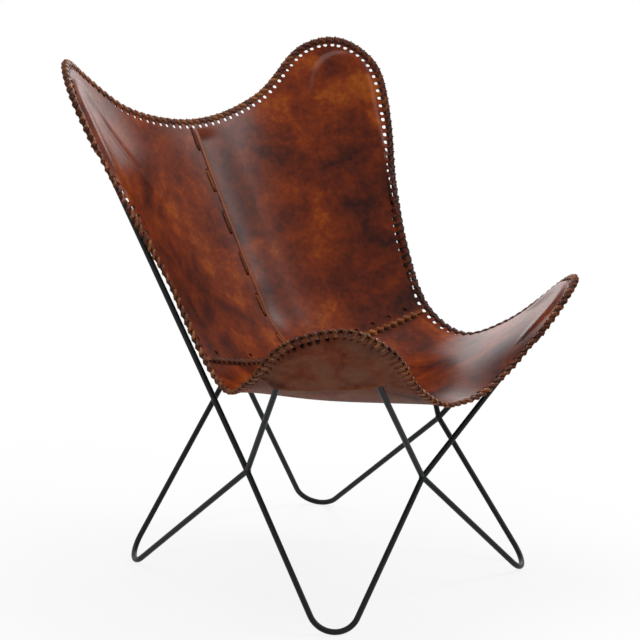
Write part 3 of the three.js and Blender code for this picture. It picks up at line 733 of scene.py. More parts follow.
END_PLANS = {
    End.FRONT: EndPlan((0.0, -0.401, 0.246), (0.41, -0.4895, 0.0), (0.457, -0.507, 0.586), 66.0),
    End.REAR: EndPlan((0.0, 0.4135, 0.387), (0.381, 0.5055, 0.0), (0.5, 0.493, 1.0), 43.0),
}


@dataclass
class RodFrame:
    """Eight bent rods that meet in fours at welded knuckles.

    The side joint is in shares of the ears' span, reach and height, like the places in the end plans.
    """

    ear_span: float = 646.0
    ear_reach: float = 577.0
    ear_height: float = 865.0
    rod: float = 10.0
    knuckle: float = 13.2
    floor_bend: float = 43.0
    side_joint: Triple = (0.37, -0.089, 0.273)
    rod_sides: int = 20
    ball_segments: int = 28
    ball_rings: int = 16
    hairpins: list[Hairpin] = field(default_factory=list, init=False)
    ears: list[Ear] = field(default_factory=list, init=False)
    joints: dict[str, Array] = field(default_factory=dict, init=False)
    pieces: list[Object] = field(default_factory=list, init=False)

    def place(self, shares: Triple, side: Side = Side.RIGHT) -> Array:
        """A point from shares of the span, the reach and the height, on one side."""
        return np.array(shares) * (side.sign * self.ear_span, self.ear_reach, self.ear_height)

    def plan(self) -> None:
        """Finds every rod's centre line and every ear's axes."""
        self.joints = {end.value: self.place(END_PLANS[end].joint) for end in End}
        self.joints |= {side.value: self.place(self.side_joint, side) for side in Side}
        for side in Side:
            for end in End:
                self.add_leg(end, side)
                self.add_ear(end, side)

    def add_leg(self, end: End, side: Side) -> None:
        """Adds the rod that stands on the floor, its corner set so that the bend just touches it.

        Args:
            end: The chair's end.
            side: The chair's side.
        """
        a, b = self.joints[end.value], self.joints[side.value]
        foot = self.place(END_PLANS[end].foot, side)
        for _ in range(SETTLE_STEPS):
            lowest = Hairpin("", a, foot, b, self.floor_bend).line()[:, 2].min()
            foot = foot + np.array([0, 0, self.rod / 2 - lowest])
        self.hairpins.append(Hairpin(f"leg_hairpin_{end.value}_{side.value}", a, foot, b, self.floor_bend))

    def add_ear(self, end: End, side: Side) -> None:
        """Adds the rod that carries an ear, its corner set so that the bend passes through the ear's tip.

        Args:
            end: The chair's end.
            side: The chair's side.
        """
        a, b, bend = self.joints[end.value], self.joints[side.value], END_PLANS[end].bend
        tip = self.place(END_PLANS[end].tip, side)
        corner = tip
        for _ in range(SETTLE_STEPS):
            to_a, to_b = unit(a - corner), unit(b - corner)
            half = math.acos(float(to_a @ to_b)) / 2
            corner = tip - unit(to_a + to_b) * (bend / math.sin(half) - bend)
        rod = Hairpin(f"ear_hairpin_{end.value}_{side.value}", a, corner, b, bend)
        inward = unit(unit(a - tip) + unit(b - tip))
        normal = unit(np.cross(a - tip, b - tip))
        normal = normal if normal[2] > 0 else -normal
        across = unit(np.cross(normal, inward))
        across = across if across @ (b - tip) > 0 else -across
        self.hairpins.append(rod)
        self.ears.append(Ear(end, side, tip, bend, -inward, across, normal, rod.line()))

    def build(self) -> None:
        """Builds the rods as smooth tubes and the knuckles as small weld balls."""
        turn = np.linspace(0.0, 2 * math.pi, self.rod_sides, endpoint=False)[:, None]
        for rod in self.hairpins:
            line = rod.line()
            plane = unit(np.cross(rod.start - rod.corner, rod.end - rod.corner))
            runs = unit(np.gradient(line, axis=0))
            runs[0], runs[-1] = unit(line[1] - line[0]), unit(line[-1] - line[-2])
            ring = np.cos(turn) * plane + np.sin(turn) * np.cross(plane, runs)[:, None, :]
            vertices = (line[:, None, :] + ring * self.rod / 2).reshape(-1, 3)
            tube = add_object(f"{rod.name}_tube", vertices, tube_faces(len(line), self.rod_sides))
            self.keep(tube, rod.name)
        for name, centre in self.joints.items():
            size = {"segments": self.ball_segments, "ring_count": self.ball_rings}
            bpy.ops.mesh.primitive_uv_sphere_add(radius=self.knuckle / 2 * MM, **size)
            ball = bpy.context.object
            ball.name = f"weld_knuckle_{name}_ball"
            ball.data.transform(ball.matrix_world.Translation(Vector(centre * MM)))
            ball.data.shade_smooth()
            self.keep(ball, f"weld_knuckle_{name}")

    def keep(self, piece: Object, node: str) -> None:
        """Registers a piece that stands for one CAD node."""
        register(piece, node, Slot.ROD)
        self.pieces.append(piece)

    def dress(self, finish: Material) -> None:
        """Gives every piece the finish."""
        for piece in self.pieces:
            piece.data.materials.append(finish)


# Sling surface and rim


@dataclass
class SlingSurface:
    """The sling's middle surface: its rim and centre line are given, and the rest bends as little as it can.

    Rim knots at an ear are out and across, in shares of its bend. Knots of the top and front edges are
    shares of the ear's X, of the reach and of the height. Knots of a side edge are a share of the way from
    ear to ear, and shares of the span and of the height. Knots of the centre line are shares of the reach
    and of the height.
    """

    rods: RodFrame
    leather: float = 3.0
    gap: float = 0.3
    lace: float = 2.6
    seat_sag: float = 12.0
    columns: int = 52
    seat_rows: int = 28
    back_rows: int = 36
    rear_rim: tuple = ((0.44, -1.77), (0.84, -0.16), (-0.21, 1.44), (-2.56, 2.16))
    front_rim: tuple = ((-0.02, 0.97), (0.38, -0.5), (-0.5, -1.59))
    top_edge: tuple = ((0, 0.0925, 0.11), (0.48, 0.101, 0.072))
    side_edge: tuple = (
        (0.258, 0, 0.149),
        (0.365, 0.0415, 0.2455),
        (0.476, 0.0475, 0.313),
        (0.601, 0.016, 0.304),
        (0.745, -0.034, 0.204),
    )
    front_edge: tuple = ((0.41, 0.069, 0.113), (0.156, 0.052, 0.163), (0, 0.048, 0.169))
    seat_line: tuple = ((-0.356, 0.399), (-0.148, 0.393), (0.008, 0.408), (0.1155, 0.438))
    back_line: tuple = ((0.2195, 0.489), (0.311, 0.578), (0.4515, 0.732))
    border_step: float = 0.25
    ear_zone: float = 480.0
    ear_fade: Fade = (60.0, 100.0)
    margin_fade: Fade = (13.0, 20.0)
    margin_height: float = 3.0
    outside_fade: Fade = (5.0, 13.0)
    hollow: float = 2.6
    hollow_fade: Fade = (4.0, 38.0)
    ease: float = 2.2
    rows: int = field(init=False)
    over_rod: float = field(init=False)
    at_rim: float = field(init=False)
    control: Array = field(init=False)
    tree: KDTree = field(init=False)

    def __post_init__(self) -> None:
        """Solves the surface and prepares its spline and its rim."""
        self.rows = self.seat_rows + self.back_rows
        self.over_rod = self.rods.rod / 2 + self.gap + self.leather / 2
        self.at_rim = self.leather / 2 + self.gap / 2
        along = spline_control(self.solve()).transpose(1, 0, 2)
        self.control = spline_control(along).transpose(1, 0, 2)
        edge = self.raw(*self.border(self.border_step)[0].T)
        self.tree = KDTree(len(edge))
        for k, point in enumerate(edge):
            self.tree.insert(point, k)
        self.tree.balance()

    def border(self, step: float) -> tuple[Array, Array]:
        """Walks along the front edge, up the right side, back along the top and down the left side.

        Args:
            step: The distance between places, in cells.

        Returns:
            Places as rows, and the number of the first place of each of the four edges.
        """
        n, m = self.columns, self.rows
        corners = np.array([(0, 0), (n, 0), (n, m), (0, m), (0, 0)], float)
        parts = []
        for a, b in zip(corners, corners[1:]):
            count = int(round(np.abs(b - a).sum() / step))
            parts.append(mix(a, b, np.linspace(0, 1, count, endpoint=False)[:, None]))
        return np.vstack(parts), np.cumsum([0] + [len(part) for part in parts[:-1]])

    def knots(self) -> Array:
        """Places the rim's knots down the left side, from the top edge's middle to the front edge's middle.

        Returns:
            Knots as rows.
        """
        rods = self.rods
        left = {ear.end: ear for ear in rods.ears if ear.side is Side.LEFT}
        rear, front = left[End.REAR], left[End.FRONT]
        top, low = (
            [ear.tip * (s, 1, 1) + rods.place((0, sign * y, -z)) for s, y, z in edge]
            for ear, edge, sign in ((rear, self.top_edge, 1), (front, self.front_edge, -1))
        )
        rear_rim, front_rim = (
            [ear.tip + ear.radius * (o * ear.out + a * ear.across) for o, a in rim]
            for ear, rim in ((rear, self.rear_rim), (front, self.front_rim))
        )
        side = [mix(rear.tip, front.tip, s) + rods.place((x, 0, -z)) for s, x, z in self.side_edge]
        return np.array(top + rear_rim + side + front_rim + low)

    def solve(self) -> Array:
        """Finds the grid of middle points.

        Returns:
            Points as columns from left to right, each from the front edge to the top edge.
        """
        n, m, half = self.columns, self.rows, self.columns // 2
        knots = self.knots()
        loop = catmull(np.vstack([knots, mirrored(knots[1:-1])[::-1]]), True)
        # The rim's stretches meet at the second knot of each ear and at the third knot of the side edge
        rear_tip = len(self.top_edge) + 1
        seam = rear_tip + len(self.rear_rim) + 1
        front_tip = seam + len(self.side_edge) - 1
        stretches = (
            (0, rear_tip, half),
            (rear_tip, seam, self.back_rows),
            (seam, front_tip, self.seat_rows),
            (front_tip, len(knots) - 1, half),
        )
        lines = [even(loop[a * CURVE_STEPS : b * CURVE_STEPS + 1], count) for a, b, count in stretches]
        top, back, seat, low = lines[0][::-1], lines[1][::-1], lines[2][::-1], lines[3]
        side = np.vstack([seat, back[1:]])
        inner = [self.rods.place((0, y, z)) for y, z in self.seat_line + self.back_line]
        dense = catmull(np.array([knots[-1], *inner, knots[0]]), False)
        at_seam = len(self.seat_line) * CURVE_STEPS
        on_seat, on_back = even(dense[: at_seam + 1], self.seat_rows), even(dense[at_seam:], self.back_rows)
        centre = np.vstack([on_seat, on_back[1:]])

        grid = np.zeros((n + 1, m + 1, 3))
        given = np.zeros((n + 1, m + 1), bool)
        given[[0, half, n], :] = True
        given[:, [0, m]] = True
        grid[0], grid[n], grid[half] = side, mirrored(side), centre
        grid[: half + 1, 0], grid[: half + 1, m] = low, top
        grid[half:, 0], grid[half:, m] = mirrored(low[::-1]), mirrored(top[::-1])
        bend_least(grid, given)
        i, j = np.meshgrid(np.arange(n + 1), np.arange(m + 1), indexing="ij")
        sideways = np.sin(math.pi * np.minimum(i, n - i) / half)
        lengthwise = np.sin(math.pi * np.minimum(1.0, j / (self.seat_rows + self.back_rows / 3))) ** 2
        grid[..., 2] -= self.seat_sag * sideways * lengthwise
        return grid

    def raw(self, u: Array, v: Array) -> Array:
        """Finds points of the spline before the leather is lifted over the rods.

        Args:
            u: Places from left to right.
            v: Places from front to top.

        Returns:
            Middle points of the leather.
        """
        i, across = spline_weights(np.asarray(u, float), self.columns)
        j, along = spline_weights(np.asarray(v, float), self.rows)
        points = np.zeros(np.shape(i) + (3,))
        for a, weight_a in enumerate(across):
            for b, weight_b in enumerate(along):
                points += (weight_a * weight_b)[..., None] * self.control[i + a, j + b]
        return points

    def at(self, u: Array, v: Array) -> Array:
        """Finds points of the sling, lifted over the ear rods.

        Args:
            u: Places from left to right.
            v: Places from front to top.

        Returns:
            Middle points of the leather.
        """
        grid = self.raw(u, v)
        points = grid.reshape(-1, 3)
        from_rim = np.array([self.tree.find(p)[2] for p in points])
        margin = 1.0 - smoothstep(from_rim, *self.margin_fade)
        for ear in self.rods.ears:
            close = np.linalg.norm(points - ear.line[len(ear.line) // 2], axis=1) < self.ear_zone
            close &= points[:, 0] * ear.side.sign > 0
            near = points[close]
            share = 1.0 - smoothstep(line_distance(near, ear.line), *self.ear_fade)
            # The leather lies on the rod, sinks a little within the ear and comes down outside it
            height = ear.height(near)
            beside = line_distance(near - height[:, None] * ear.normal, ear.line)
            within = inside_outline(ear.flat(near), ear.flat(ear.line))
            top = self.over_rod + (self.lace + 2 * self.gap) * margin[close] * (height > self.margin_height)
            outside = mix(top, self.at_rim, smoothstep(beside, *self.outside_fade))
            inside = self.over_rod - self.hollow * smoothstep(beside, *self.hollow_fade)
            goal = np.where(within, inside, outside)
            lift = np.where(height < 0, goal - height, np.maximum(0.0, goal - height / self.ease))
            points[close] = near + ear.normal * (lift * share)[:, None]
        return points.reshape(grid.shape)

    def frame_at(self, u: Array, v: Array) -> tuple[Array, Array]:
        """Finds points of the sling and their normals.

        Args:
            u: Places from left to right.
            v: Places from front to top.

        Returns:
            Middle points of the leather, and normals that look at the sitter.
        """
        step, inset = 0.1, 0.5
        # At an ear's very tip both grid directions run along the rim, so normals are taken just inside it
        inner_u = np.clip(u, inset, self.columns - inset)
        inner_v = np.clip(v, inset, self.rows - inset)
        along_u = self.at(inner_u + step, inner_v) - self.at(inner_u - step, inner_v)
        along_v = self.at(inner_u, inner_v + step) - self.at(inner_u, inner_v - step)
        return self.at(u, v), unit(np.cross(along_u, along_v))


@dataclass
class Track:
    """A strip along a line of the sling: at each station a profile of points with outward normals."""

    stations: Array
    places: Array
    points: Array
    normals: Array
    closed: bool = False

    @property
    def length(self) -> float:
        """The track's whole length."""
        return float(self.stations[-1])

    def wrap(self, mesh: Mesh, start: float, reach: float) -> None:
        """Bends a flat mesh onto the track.

        Args:
            mesh: A mesh with X along the track, Y across it and Z over it, in metres.
            start: Where the mesh's X = 0 lies on the track.
            reach: The Y that lies on the profile's ends.
        """
        flat = mesh_points(mesh) / MM
        along = start + flat[:, 0]
        along = np.mod(along, self.length) if self.closed else np.clip(along, 0.0, self.length)
        step = np.interp(along, self.stations, np.arange(len(self.stations)))
        across = np.interp(flat[:, 1] / reach, self.places, np.arange(len(self.places)))
        i = np.clip(np.floor(step).astype(int), 0, len(self.stations) - 2)
        j = np.clip(np.floor(across).astype(int), 0, len(self.places) - 2)
        a, b = (step - i)[:, None], (across - j)[:, None]
        found = []
        for table in (self.points, self.normals):
            here = mix(table[i, j], table[i, j + 1], b)
            found.append(mix(here, mix(table[i + 1, j], table[i + 1, j + 1], b), a))
        solid = found[0] + unit(found[1]) * flat[:, 2:]
        mesh.vertices.foreach_set("co", (solid * MM).ravel())
        mesh.update()
        face_outward(mesh)


@dataclass
class Rim:
    """The sling's rim as a closed track, with the stretches where an ear pocket is laced to it.

    Runs are measured from an ear's tip, and widths count the neighbours that a value is averaged with.
    """

    surface: SlingSurface
    tree: BVHTree
    rear_top_run: float = 139.0
    rear_side_run: float = 190.0
    front_side_run: float = 200.0
    front_edge_run: float = 160.0
    depth: float = 9.6
    step: float = 0.16
    face_steps: int = 6
    turn_steps: int = 9
    edge_share: float = 0.22
    bulge_share: float = 0.45
    least_bulge: float = 0.5
    least_slope: float = 0.5
    pocket_gaps: float = 1.5
    normal_width: int = 5
    run_width: int = 3
    sheet_width: int = 4
    profile_width: int = 2
    edge: Array = field(init=False)
    normals: Array = field(init=False)
    runs: Array = field(init=False)
    inward: Array = field(init=False)
    reach: Array = field(init=False)
    stations: Array = field(init=False)
    length: float = field(init=False)
    stretches: dict[str, tuple[float, float]] = field(default_factory=dict, init=False)

    def __post_init__(self) -> None:
        """Finds the rim's points and axes and the ears' stretches."""
        places, starts = self.surface.border(self.step)
        self.edge, normals = self.surface.frame_at(*places.T)
        self.normals = self.soften(normals, self.normal_width)
        self.reach = reach_along(np.vstack([self.edge, self.edge[:1]]))
        self.length = float(self.reach[-1])
        self.stations = self.reach[:-1]
        runs = np.roll(self.edge, -1, axis=0) - np.roll(self.edge, 1, axis=0)
        self.runs = unit(self.soften(runs, self.run_width))
        self.inward = unit(np.cross(self.normals, self.runs))
        reaches = {
            "front": (self.front_side_run, self.front_edge_run),
            "rear": (self.rear_side_run, self.rear_top_run),
        }
        for k, name in enumerate(EARS_ROUND):
            # The rim comes to every other ear along a side edge and leaves it along the front or top edge
            on_side, on_edge = reaches[name.split("_")[0]]
            before, after = (on_edge, on_side) if k % 2 else (on_side, on_edge)
            tip = float(self.reach[starts[k]])
            self.stretches[name] = (tip - before, tip + after)

    def soften(self, values: Array, width: int) -> Array:
        """Values averaged with their neighbours round the rim."""
        return sum(np.roll(values, k, axis=0) for k in range(-width, width + 1)) / (2 * width + 1)

    def stations_at(self, goals: Array) -> Array:
        """Numbers of the last stations before lengths along the rim."""
        return np.searchsorted(self.stations, goals, side="right") - 1

    def share_in(self, ear: Ear, fade: float = 10.0) -> Array:
        """Tells how far the stations lie within an ear's stretch.

        Args:
            ear: The ear.
            fade: The length over which the share falls off at the stretch's ends.

        Returns:
            A share from 0 to 1 for each station, as a column.
        """
        first, last = self.stretches[ear.name]
        middle, half = (first + last) / 2, (last - first) / 2
        away = np.abs(np.mod(self.stations - middle + self.length / 2, self.length) - self.length / 2)
        return (1.0 - smoothstep(away, half - fade, half))[:, None]

    def under(self, points: Array, normals: Array, ear: Ear) -> Array:
        """Finds middle points of a pocket right under points of the sling.

        Args:
            points: Middle points of the sling.
            normals: Their normals.
            ear: The pocket's ear.

        Returns:
            Points below them along the ear's normal.
        """
        half, gap = self.surface.leather / 2, self.pocket_gaps * self.surface.gap
        down = half / np.maximum(self.least_slope, normals @ ear.normal) + gap + half
        return points - down[..., None] * ear.normal

    def sheet_at(self, depth: float) -> tuple[Array, Array]:
        """Finds points of the sling at a distance inside the rim.

        Args:
            depth: The distance.

        Returns:
            A middle point and a normal for each station.
        """
        found = [self.tree.find_nearest(Vector(p)) for p in self.edge + self.inward * depth]
        points, normals = (np.array([f[k][:] for f in found]) for k in (0, 1))
        normals *= np.sign(np.einsum("ij,ij->i", normals, self.normals))[:, None]
        return points, unit(self.soften(normals, self.sheet_width))

    def track(self) -> Track:
        """Lays the lacing's track: in over the inner face, round the edge and out over the outer face.

        Returns:
            A closed track.
        """
        half = self.surface.leather / 2
        inner, outer = [], []
        for depth in np.linspace(self.depth, 0.0, self.face_steps):
            points, normals = self.sheet_at(depth)
            low = points - normals * half
            for ear in self.surface.rods.ears:
                low = mix(low, self.under(points, normals, ear) - ear.normal * half, self.share_in(ear))
            inner.append(points + normals * half)
            outer.append(low)
        top, low = inner[-1], outer[-1]
        bulge = np.linalg.norm(top - low, axis=1, keepdims=True) * self.bulge_share + self.least_bulge
        round_edge = []
        for turn in np.linspace(math.pi / 2, -math.pi / 2, self.turn_steps)[1:-1]:
            level = (top + low) / 2 + (top - low) / 2 * math.sin(turn)
            round_edge.append(level - self.inward * bulge * math.cos(turn))
        profile = self.soften(np.stack(inner + round_edge + outer[::-1], axis=1), self.profile_width)
        normals = unit(np.cross(np.gradient(profile, axis=1), self.runs[:, None, :]))
        normals = normals * np.sign(np.einsum("ij,ij->i", normals[:, 1], self.normals))[:, None, None]
        at = self.edge_share
        spans = ((-1, -at, self.face_steps), (-at, at, self.turn_steps), (at, 1, self.face_steps))
        first, turned, last = (np.linspace(*span) for span in spans)
        tables = [np.concatenate([table, table[:1]]) for table in (profile, normals)]
        return Track(self.reach, np.concatenate([first, turned[1:-1], last]), *tables, True)


# Repeated shapes


@dataclass
class NodeGroup:
    """A geometry node tree with named inputs, whose result is kept as a plain mesh."""

    name: str
    inputs: dict[str, str]
    tree: NodeTree = field(init=False)
    given: bpy.types.bpy_prop_collection = field(init=False)

    def __post_init__(self) -> None:
        """Makes the empty tree with its inputs and its output."""
        self.tree = bpy.data.node_groups.new(self.name, "GeometryNodeTree")
        for name, kind in self.inputs.items():
            self.tree.interface.new_socket(name, in_out="INPUT", socket_type=f"NodeSocket{kind}")
        self.tree.interface.new_socket("Geometry", in_out="OUTPUT", socket_type="NodeSocketGeometry")
        self.given = add_node(self.tree, "NodeGroupInput").outputs

    def end_with(self, geometry: NodeSocket) -> None:
        """Makes instances real, gives them the finish and ends the tree.

        Args:
            geometry: What the tree has made.
        """
        real = add_node(self.tree, "GeometryNodeRealizeInstances", Geometry=geometry).outputs[0]
        links = {"Geometry": real, "Material": self.given["Finish"]}
        dressed = add_node(self.tree, "GeometryNodeSetMaterial", **links).outputs[0]
        add_node(self.tree, "NodeGroupOutput", Geometry=dressed)

    def run(self, host: Object, values: dict) -> Mesh:
        """Runs the tree on a host object.

        Args:
            host: The object whose mesh the tree may use. It is removed.
            values: The tree's inputs by name.

        Returns:
            The finished mesh.
        """
        modifier = host.modifiers.new(self.name, "NODES")
        modifier.node_group = self.tree
        for item in self.tree.interface.items_tree:
            if item.in_out == "INPUT" and item.name in values:
                modifier[item.identifier] = values[item.name]
        mesh = baked(host)
        drop(host)
        return mesh


def strand_group() -> NodeGroup:
    """Makes a tree that lays two kinds of strand side by side along the X axis.

    Returns:
        The tree. The under strands are painted darker, as shade in the gaps between the upper strands.
    """
    inputs = {"Upper Strand": "Object", "Under Strand": "Object", "Count": "Int", "Pitch": "Float"}
    inputs |= {"Sway": "Float", "Palest": "Float", "Seed": "Int", "Finish": "Material"}
    group = NodeGroup("lace strands", inputs)
    tree, given = group.tree, group.given
    step = add_node(tree, "ShaderNodeCombineXYZ", X=given["Pitch"]).outputs[0]
    links = {"Count": given["Count"], "Offset": step}
    line = add_node(tree, "GeometryNodeMeshLine", {"mode": "OFFSET"}, **links).outputs[0]
    less = add_node(tree, "ShaderNodeMath", {"operation": "MULTIPLY", 1: -1.0}, n0=given["Sway"]).outputs[0]
    both = []
    # Under strands get lower tones: painted shade for the gaps between the upper strands
    for name, low, high in (("Upper Strand", 0.5, 1.0), ("Under Strand", 0.05, 0.42)):
        sway = add_node(tree, "FunctionNodeRandomValue", n2=less, n3=given["Sway"], Seed=given["Seed"])
        turn = add_node(tree, "ShaderNodeCombineXYZ", Z=sway.outputs[1]).outputs[0]
        turn = add_node(tree, "FunctionNodeEulerToRotation", Euler=turn).outputs[0]
        shape = add_node(tree, "GeometryNodeObjectInfo", Object=given[name]).outputs["Geometry"]
        links = {"Points": line, "Instance": shape, "Rotation": turn}
        laid = add_node(tree, "GeometryNodeInstanceOnPoints", **links).outputs[0]
        tone = add_node(tree, "FunctionNodeRandomValue", {2: low, 3: high}, Seed=given["Seed"]).outputs[1]
        links = {"n0": tone, "n1": given["Palest"]}
        tone = add_node(tree, "ShaderNodeMath", {"operation": "MULTIPLY"}, **links).outputs[0]
        settings = {"data_type": "FLOAT", "domain": "INSTANCE", "Name": "tone"}
        links = {"Geometry": laid, "Value": tone}
        both.append(add_node(tree, "GeometryNodeStoreNamedAttribute", settings, **links).outputs[0])
    joined = add_node(tree, "GeometryNodeJoinGeometry")
    for kind in both:
        tree.links.new(kind, joined.inputs[0])
    group.end_with(joined.outputs[0])
    return group


def punch_group() -> NodeGroup:
    """Makes a tree that stands a round punch on every point of its host.

    Returns:
        The tree. A punch stands along the host's punch attribute.
    """
    inputs = {"Geometry": "Geometry", "Radius": "Float", "Reach": "Float", "Sides": "Int"}
    inputs |= {"Finish": "Material"}
    group = NodeGroup("round punches", inputs)
    tree, given = group.tree, group.given
    links = {"Vertices": given["Sides"], "Radius": given["Radius"], "Depth": given["Reach"]}
    punch = add_node(tree, "GeometryNodeMeshCylinder", **links).outputs[0]
    settings = {"data_type": "FLOAT_VECTOR", "Name": "punch"}
    along = add_node(tree, "GeometryNodeInputNamedAttribute", settings).outputs[0]
    turn = add_node(tree, "FunctionNodeAlignRotationToVector", {"axis": "Z"}, Vector=along).outputs[0]
    links = {"Points": given["Geometry"], "Instance": punch, "Rotation": turn}
    group.end_with(add_node(tree, "GeometryNodeInstanceOnPoints", **links).outputs[0])
    return group


@dataclass
class Punches:
    """Round punches for the holes in the leather. Each set is one helper object."""

    finish: Material
    sides: int = 14
    tools: list[Object] = field(default_factory=list, init=False)
    group: NodeGroup = field(init=False)

    def __post_init__(self) -> None:
        """Makes the punches' tree."""
        self.group = punch_group()

    def stand(self, name: str, points: Array, normals: Array, radius: float, reach: float) -> Object:
        """Stands punches on points.

        Args:
            name: The helper's name.
            points: Middle points of the punches.
            normals: The direction of each punch.
            radius: The holes' radius.
            reach: The punches' length.

        Returns:
            One helper object that holds every punch.
        """
        host = add_object(f"{name} guide", points, [], None)
        directions = host.data.attributes.new("punch", "FLOAT_VECTOR", "POINT").data
        directions.foreach_set("vector", np.asarray(normals).ravel())
        values = {"Radius": radius * MM, "Reach": reach * MM, "Sides": self.sides, "Finish": self.finish}
        tool = link_object(name, self.group.run(host, values))
        self.tools.append(tool)
        return tool


def thong(
    name: str, line: Array, side: Array, half: Array, base: Array, section: Array, tilt: float = 0.0
) -> Object:
    """Builds one thong of lace as a helper object, a few dozen faces of a low round section.

    Args:
        name: The helper's name.
        line: Flat points along the thong.
        side: Flat directions across it.
        half: Half its width at each point.
        base: Its height at each point.
        section: Its section as shares of the half width, and heights.
        tilt: How much higher one side lies than the other.

    Returns:
        The helper.
    """
    offset, rise = section
    vertices = np.zeros((len(line), len(offset), 3))
    vertices[..., :2] = line[:, None] + side[:, None] * (half[:, None] * offset)[..., None]
    vertices[..., 2] = base[:, None] + rise - offset * tilt
    return add_object(name, vertices.reshape(-1, 3), tube_faces(len(line), len(offset)), None)


@dataclass(frozen=True)
class Strand:
    """One thong of lace laid flat: it runs across the strip, along Y, and drifts along X as it goes.

    Shares of its reach say where it narrows, where it dives and where its drift ends.
    """

    name: str
    reach: float
    drift: float
    width: float
    height: float
    tilt: float = 0.0
    start_x: float = 0.0
    dive: float = 2.4
    taper: float = 0.35
    taper_from: float = 0.7
    dive_from: float = 0.86
    drift_until: float = 0.3

    def build(self) -> Object:
        """Builds the strand.

        Returns:
            A helper object.
        """
        y = np.array([-1.0, -0.92, -0.72, -0.42, -0.14, 0.14, 0.42, 0.72, 0.92, 1.0])
        x = self.start_x + self.drift * smoothstep(y, -1.0, self.drift_until)
        line = np.stack([x, y * self.reach], axis=1)
        run = unit(np.gradient(line, axis=0))
        side = np.stack([run[:, 1], -run[:, 0]], axis=1)
        half = self.width / 2 * (1.0 - self.taper * smoothstep(np.abs(y), self.taper_from, 1.0))
        base = -self.dive * smoothstep(np.abs(y), self.dive_from, 1.0)
        rise = np.array([0.22, 0.86, 1.0, 0.82, 0.2, -0.06]) * self.height
        section = np.array([(-1.0, -0.62, 0.12, 0.74, 1.0, 0.0), rise])
        return thong(self.name, line, side, half, base, section, self.tilt)


@dataclass(frozen=True)
class Stitch:
    """One long flat stitch along X whose ends narrow and dive into the leather, from shares of its length."""

    name: str
    length: float
    width: float
    height: float
    sink: float = 0.0
    dive: float = 2.6
    crown: float = 0.5
    taper: float = 0.3
    taper_from: float = 0.8
    dive_from: float = 0.88

    def build(self) -> Object:
        """Builds the stitch.

        Returns:
            A helper object.
        """
        t = np.array([-1.0, -0.95, -0.86, -0.6, -0.2, 0.2, 0.6, 0.86, 0.95, 1.0])
        line = np.stack([t * self.length / 2, np.zeros_like(t)], axis=1)
        side = np.tile([0.0, 1.0], (len(t), 1))
        half = self.width / 2 * (1 - self.taper * smoothstep(np.abs(t), self.taper_from, 1.0))
        base = -self.dive * smoothstep(np.abs(t), self.dive_from, 1.0) + self.crown * (1 - t**2) - self.sink
        rise = np.array([0.25, 0.88, 1.0, 0.88, 0.25, -0.05]) * self.height
        section = np.array([(-1.0, -0.7, 0.0, 0.7, 1.0, 0.0), rise])
        return thong(self.name, line, side, half, base, section)


# Leather


@dataclass
class Leather:
    """Leather sheets: their middle surfaces, and how they are punched, marked and dressed."""

    surface: SlingSurface
    pieces: dict[str, Object] = field(default_factory=dict, init=False)
    middle: dict[str, Array] = field(default_factory=dict, init=False)
    hole_zone: ClassVar[float] = 5.5
    hole_share: ClassVar[float] = 0.8
    wear_fade: ClassVar[Fade] = (2.6, 7.4)
    edge_points: ClassVar[int] = 60

    def sheet(self, node: str, middle: Array, normals: Array) -> None:
        """Builds a closed sheet.

        Args:
            node: The CAD node that it stands for.
            middle: Its middle points as columns by rows by three.
            normals: Their unit normals.
        """
        vertices, faces = closed_sheet(middle, normals, self.surface.leather)
        self.middle[node] = middle
        self.pieces[node] = add_object(f"{node}_leather", vertices, faces)

    def punch(self, node: str, tools: list[Object]) -> None:
        """Cuts round holes into a piece.

        Args:
            node: The CAD node that the piece stands for.
            tools: Sets of punches.
        """
        piece = self.pieces[node]
        for tool in tools:
            cut = piece.modifiers.new("punch", "BOOLEAN")
            cut.operation, cut.solver, cut.object = "DIFFERENCE", "MANIFOLD", tool
        old, piece.data = piece.data, baked(piece)
        bpy.data.meshes.remove(old)
        piece.data.name = piece.name
        shade(piece.data, LEATHER_SHARP)

    def mark(self, node: str, raw_edges: list[Array], strength: float, holes: Array) -> None:
        """Marks a piece's dull outer side, its worn raw edges and the insides of its blind holes, which get
        painted shade.

        Args:
            node: The CAD node that the piece stands for.
            raw_edges: Lines along the worn edges.
            strength: How worn they are, from 0 to 1.
            holes: Middle points of the blind holes.
        """
        mesh, middle = self.pieces[node].data, self.middle[node]
        points = mesh_points(mesh) / MM
        tree = BVHTree.FromPolygons(middle.reshape(-1, 3).tolist(), grid_faces(*middle.shape[:2]))
        outer, hole, wear = np.zeros((3, len(points)))
        close = np.zeros(len(points), bool)
        # Points inside the blind holes are marked for painted shade
        for place in holes:
            close |= np.linalg.norm(points - place, axis=1) < self.hole_zone
        for k, point in enumerate(points):
            place, normal, _, _ = tree.find_nearest(Vector(point))
            height = (Vector(point) - place).dot(normal)
            outer[k] = height < 0
            hole[k] = abs(height) < self.hole_share * self.surface.leather / 2 and close[k]
        for edge in raw_edges:
            away = line_distance(points, edge[:: max(1, len(edge) // self.edge_points)])
            wear = np.maximum(wear, strength * (1.0 - smoothstep(away, *self.wear_fade)))
        for name, values in (("outer", outer), ("wear", wear), ("hole", hole)):
            mesh.attributes.new(name, "FLOAT", "POINT").data.foreach_set("value", values.astype(np.float32))

    def dress(self, node: str, finish: Material) -> None:
        """Dresses and registers a piece that stands for one CAD node.

        Args:
            node: The CAD node.
            finish: The leather's material.
        """
        piece = self.pieces[node]
        piece.data.materials.clear()
        piece.data.materials.append(finish)
        register(piece, node, Slot.SLING)

    def declare(self, node: str, held: Held, rests_on: list[str], with_pieces: list[Object]) -> None:
        """Does nothing; the piece is not declared as a sheet.

        Args:
            node: The CAD node that the piece stands for. Not used.
            held: How the sheet is held. Not used.
            rests_on: What it hangs from. Not used.
            with_pieces: The lacing on it. Not used.
        """


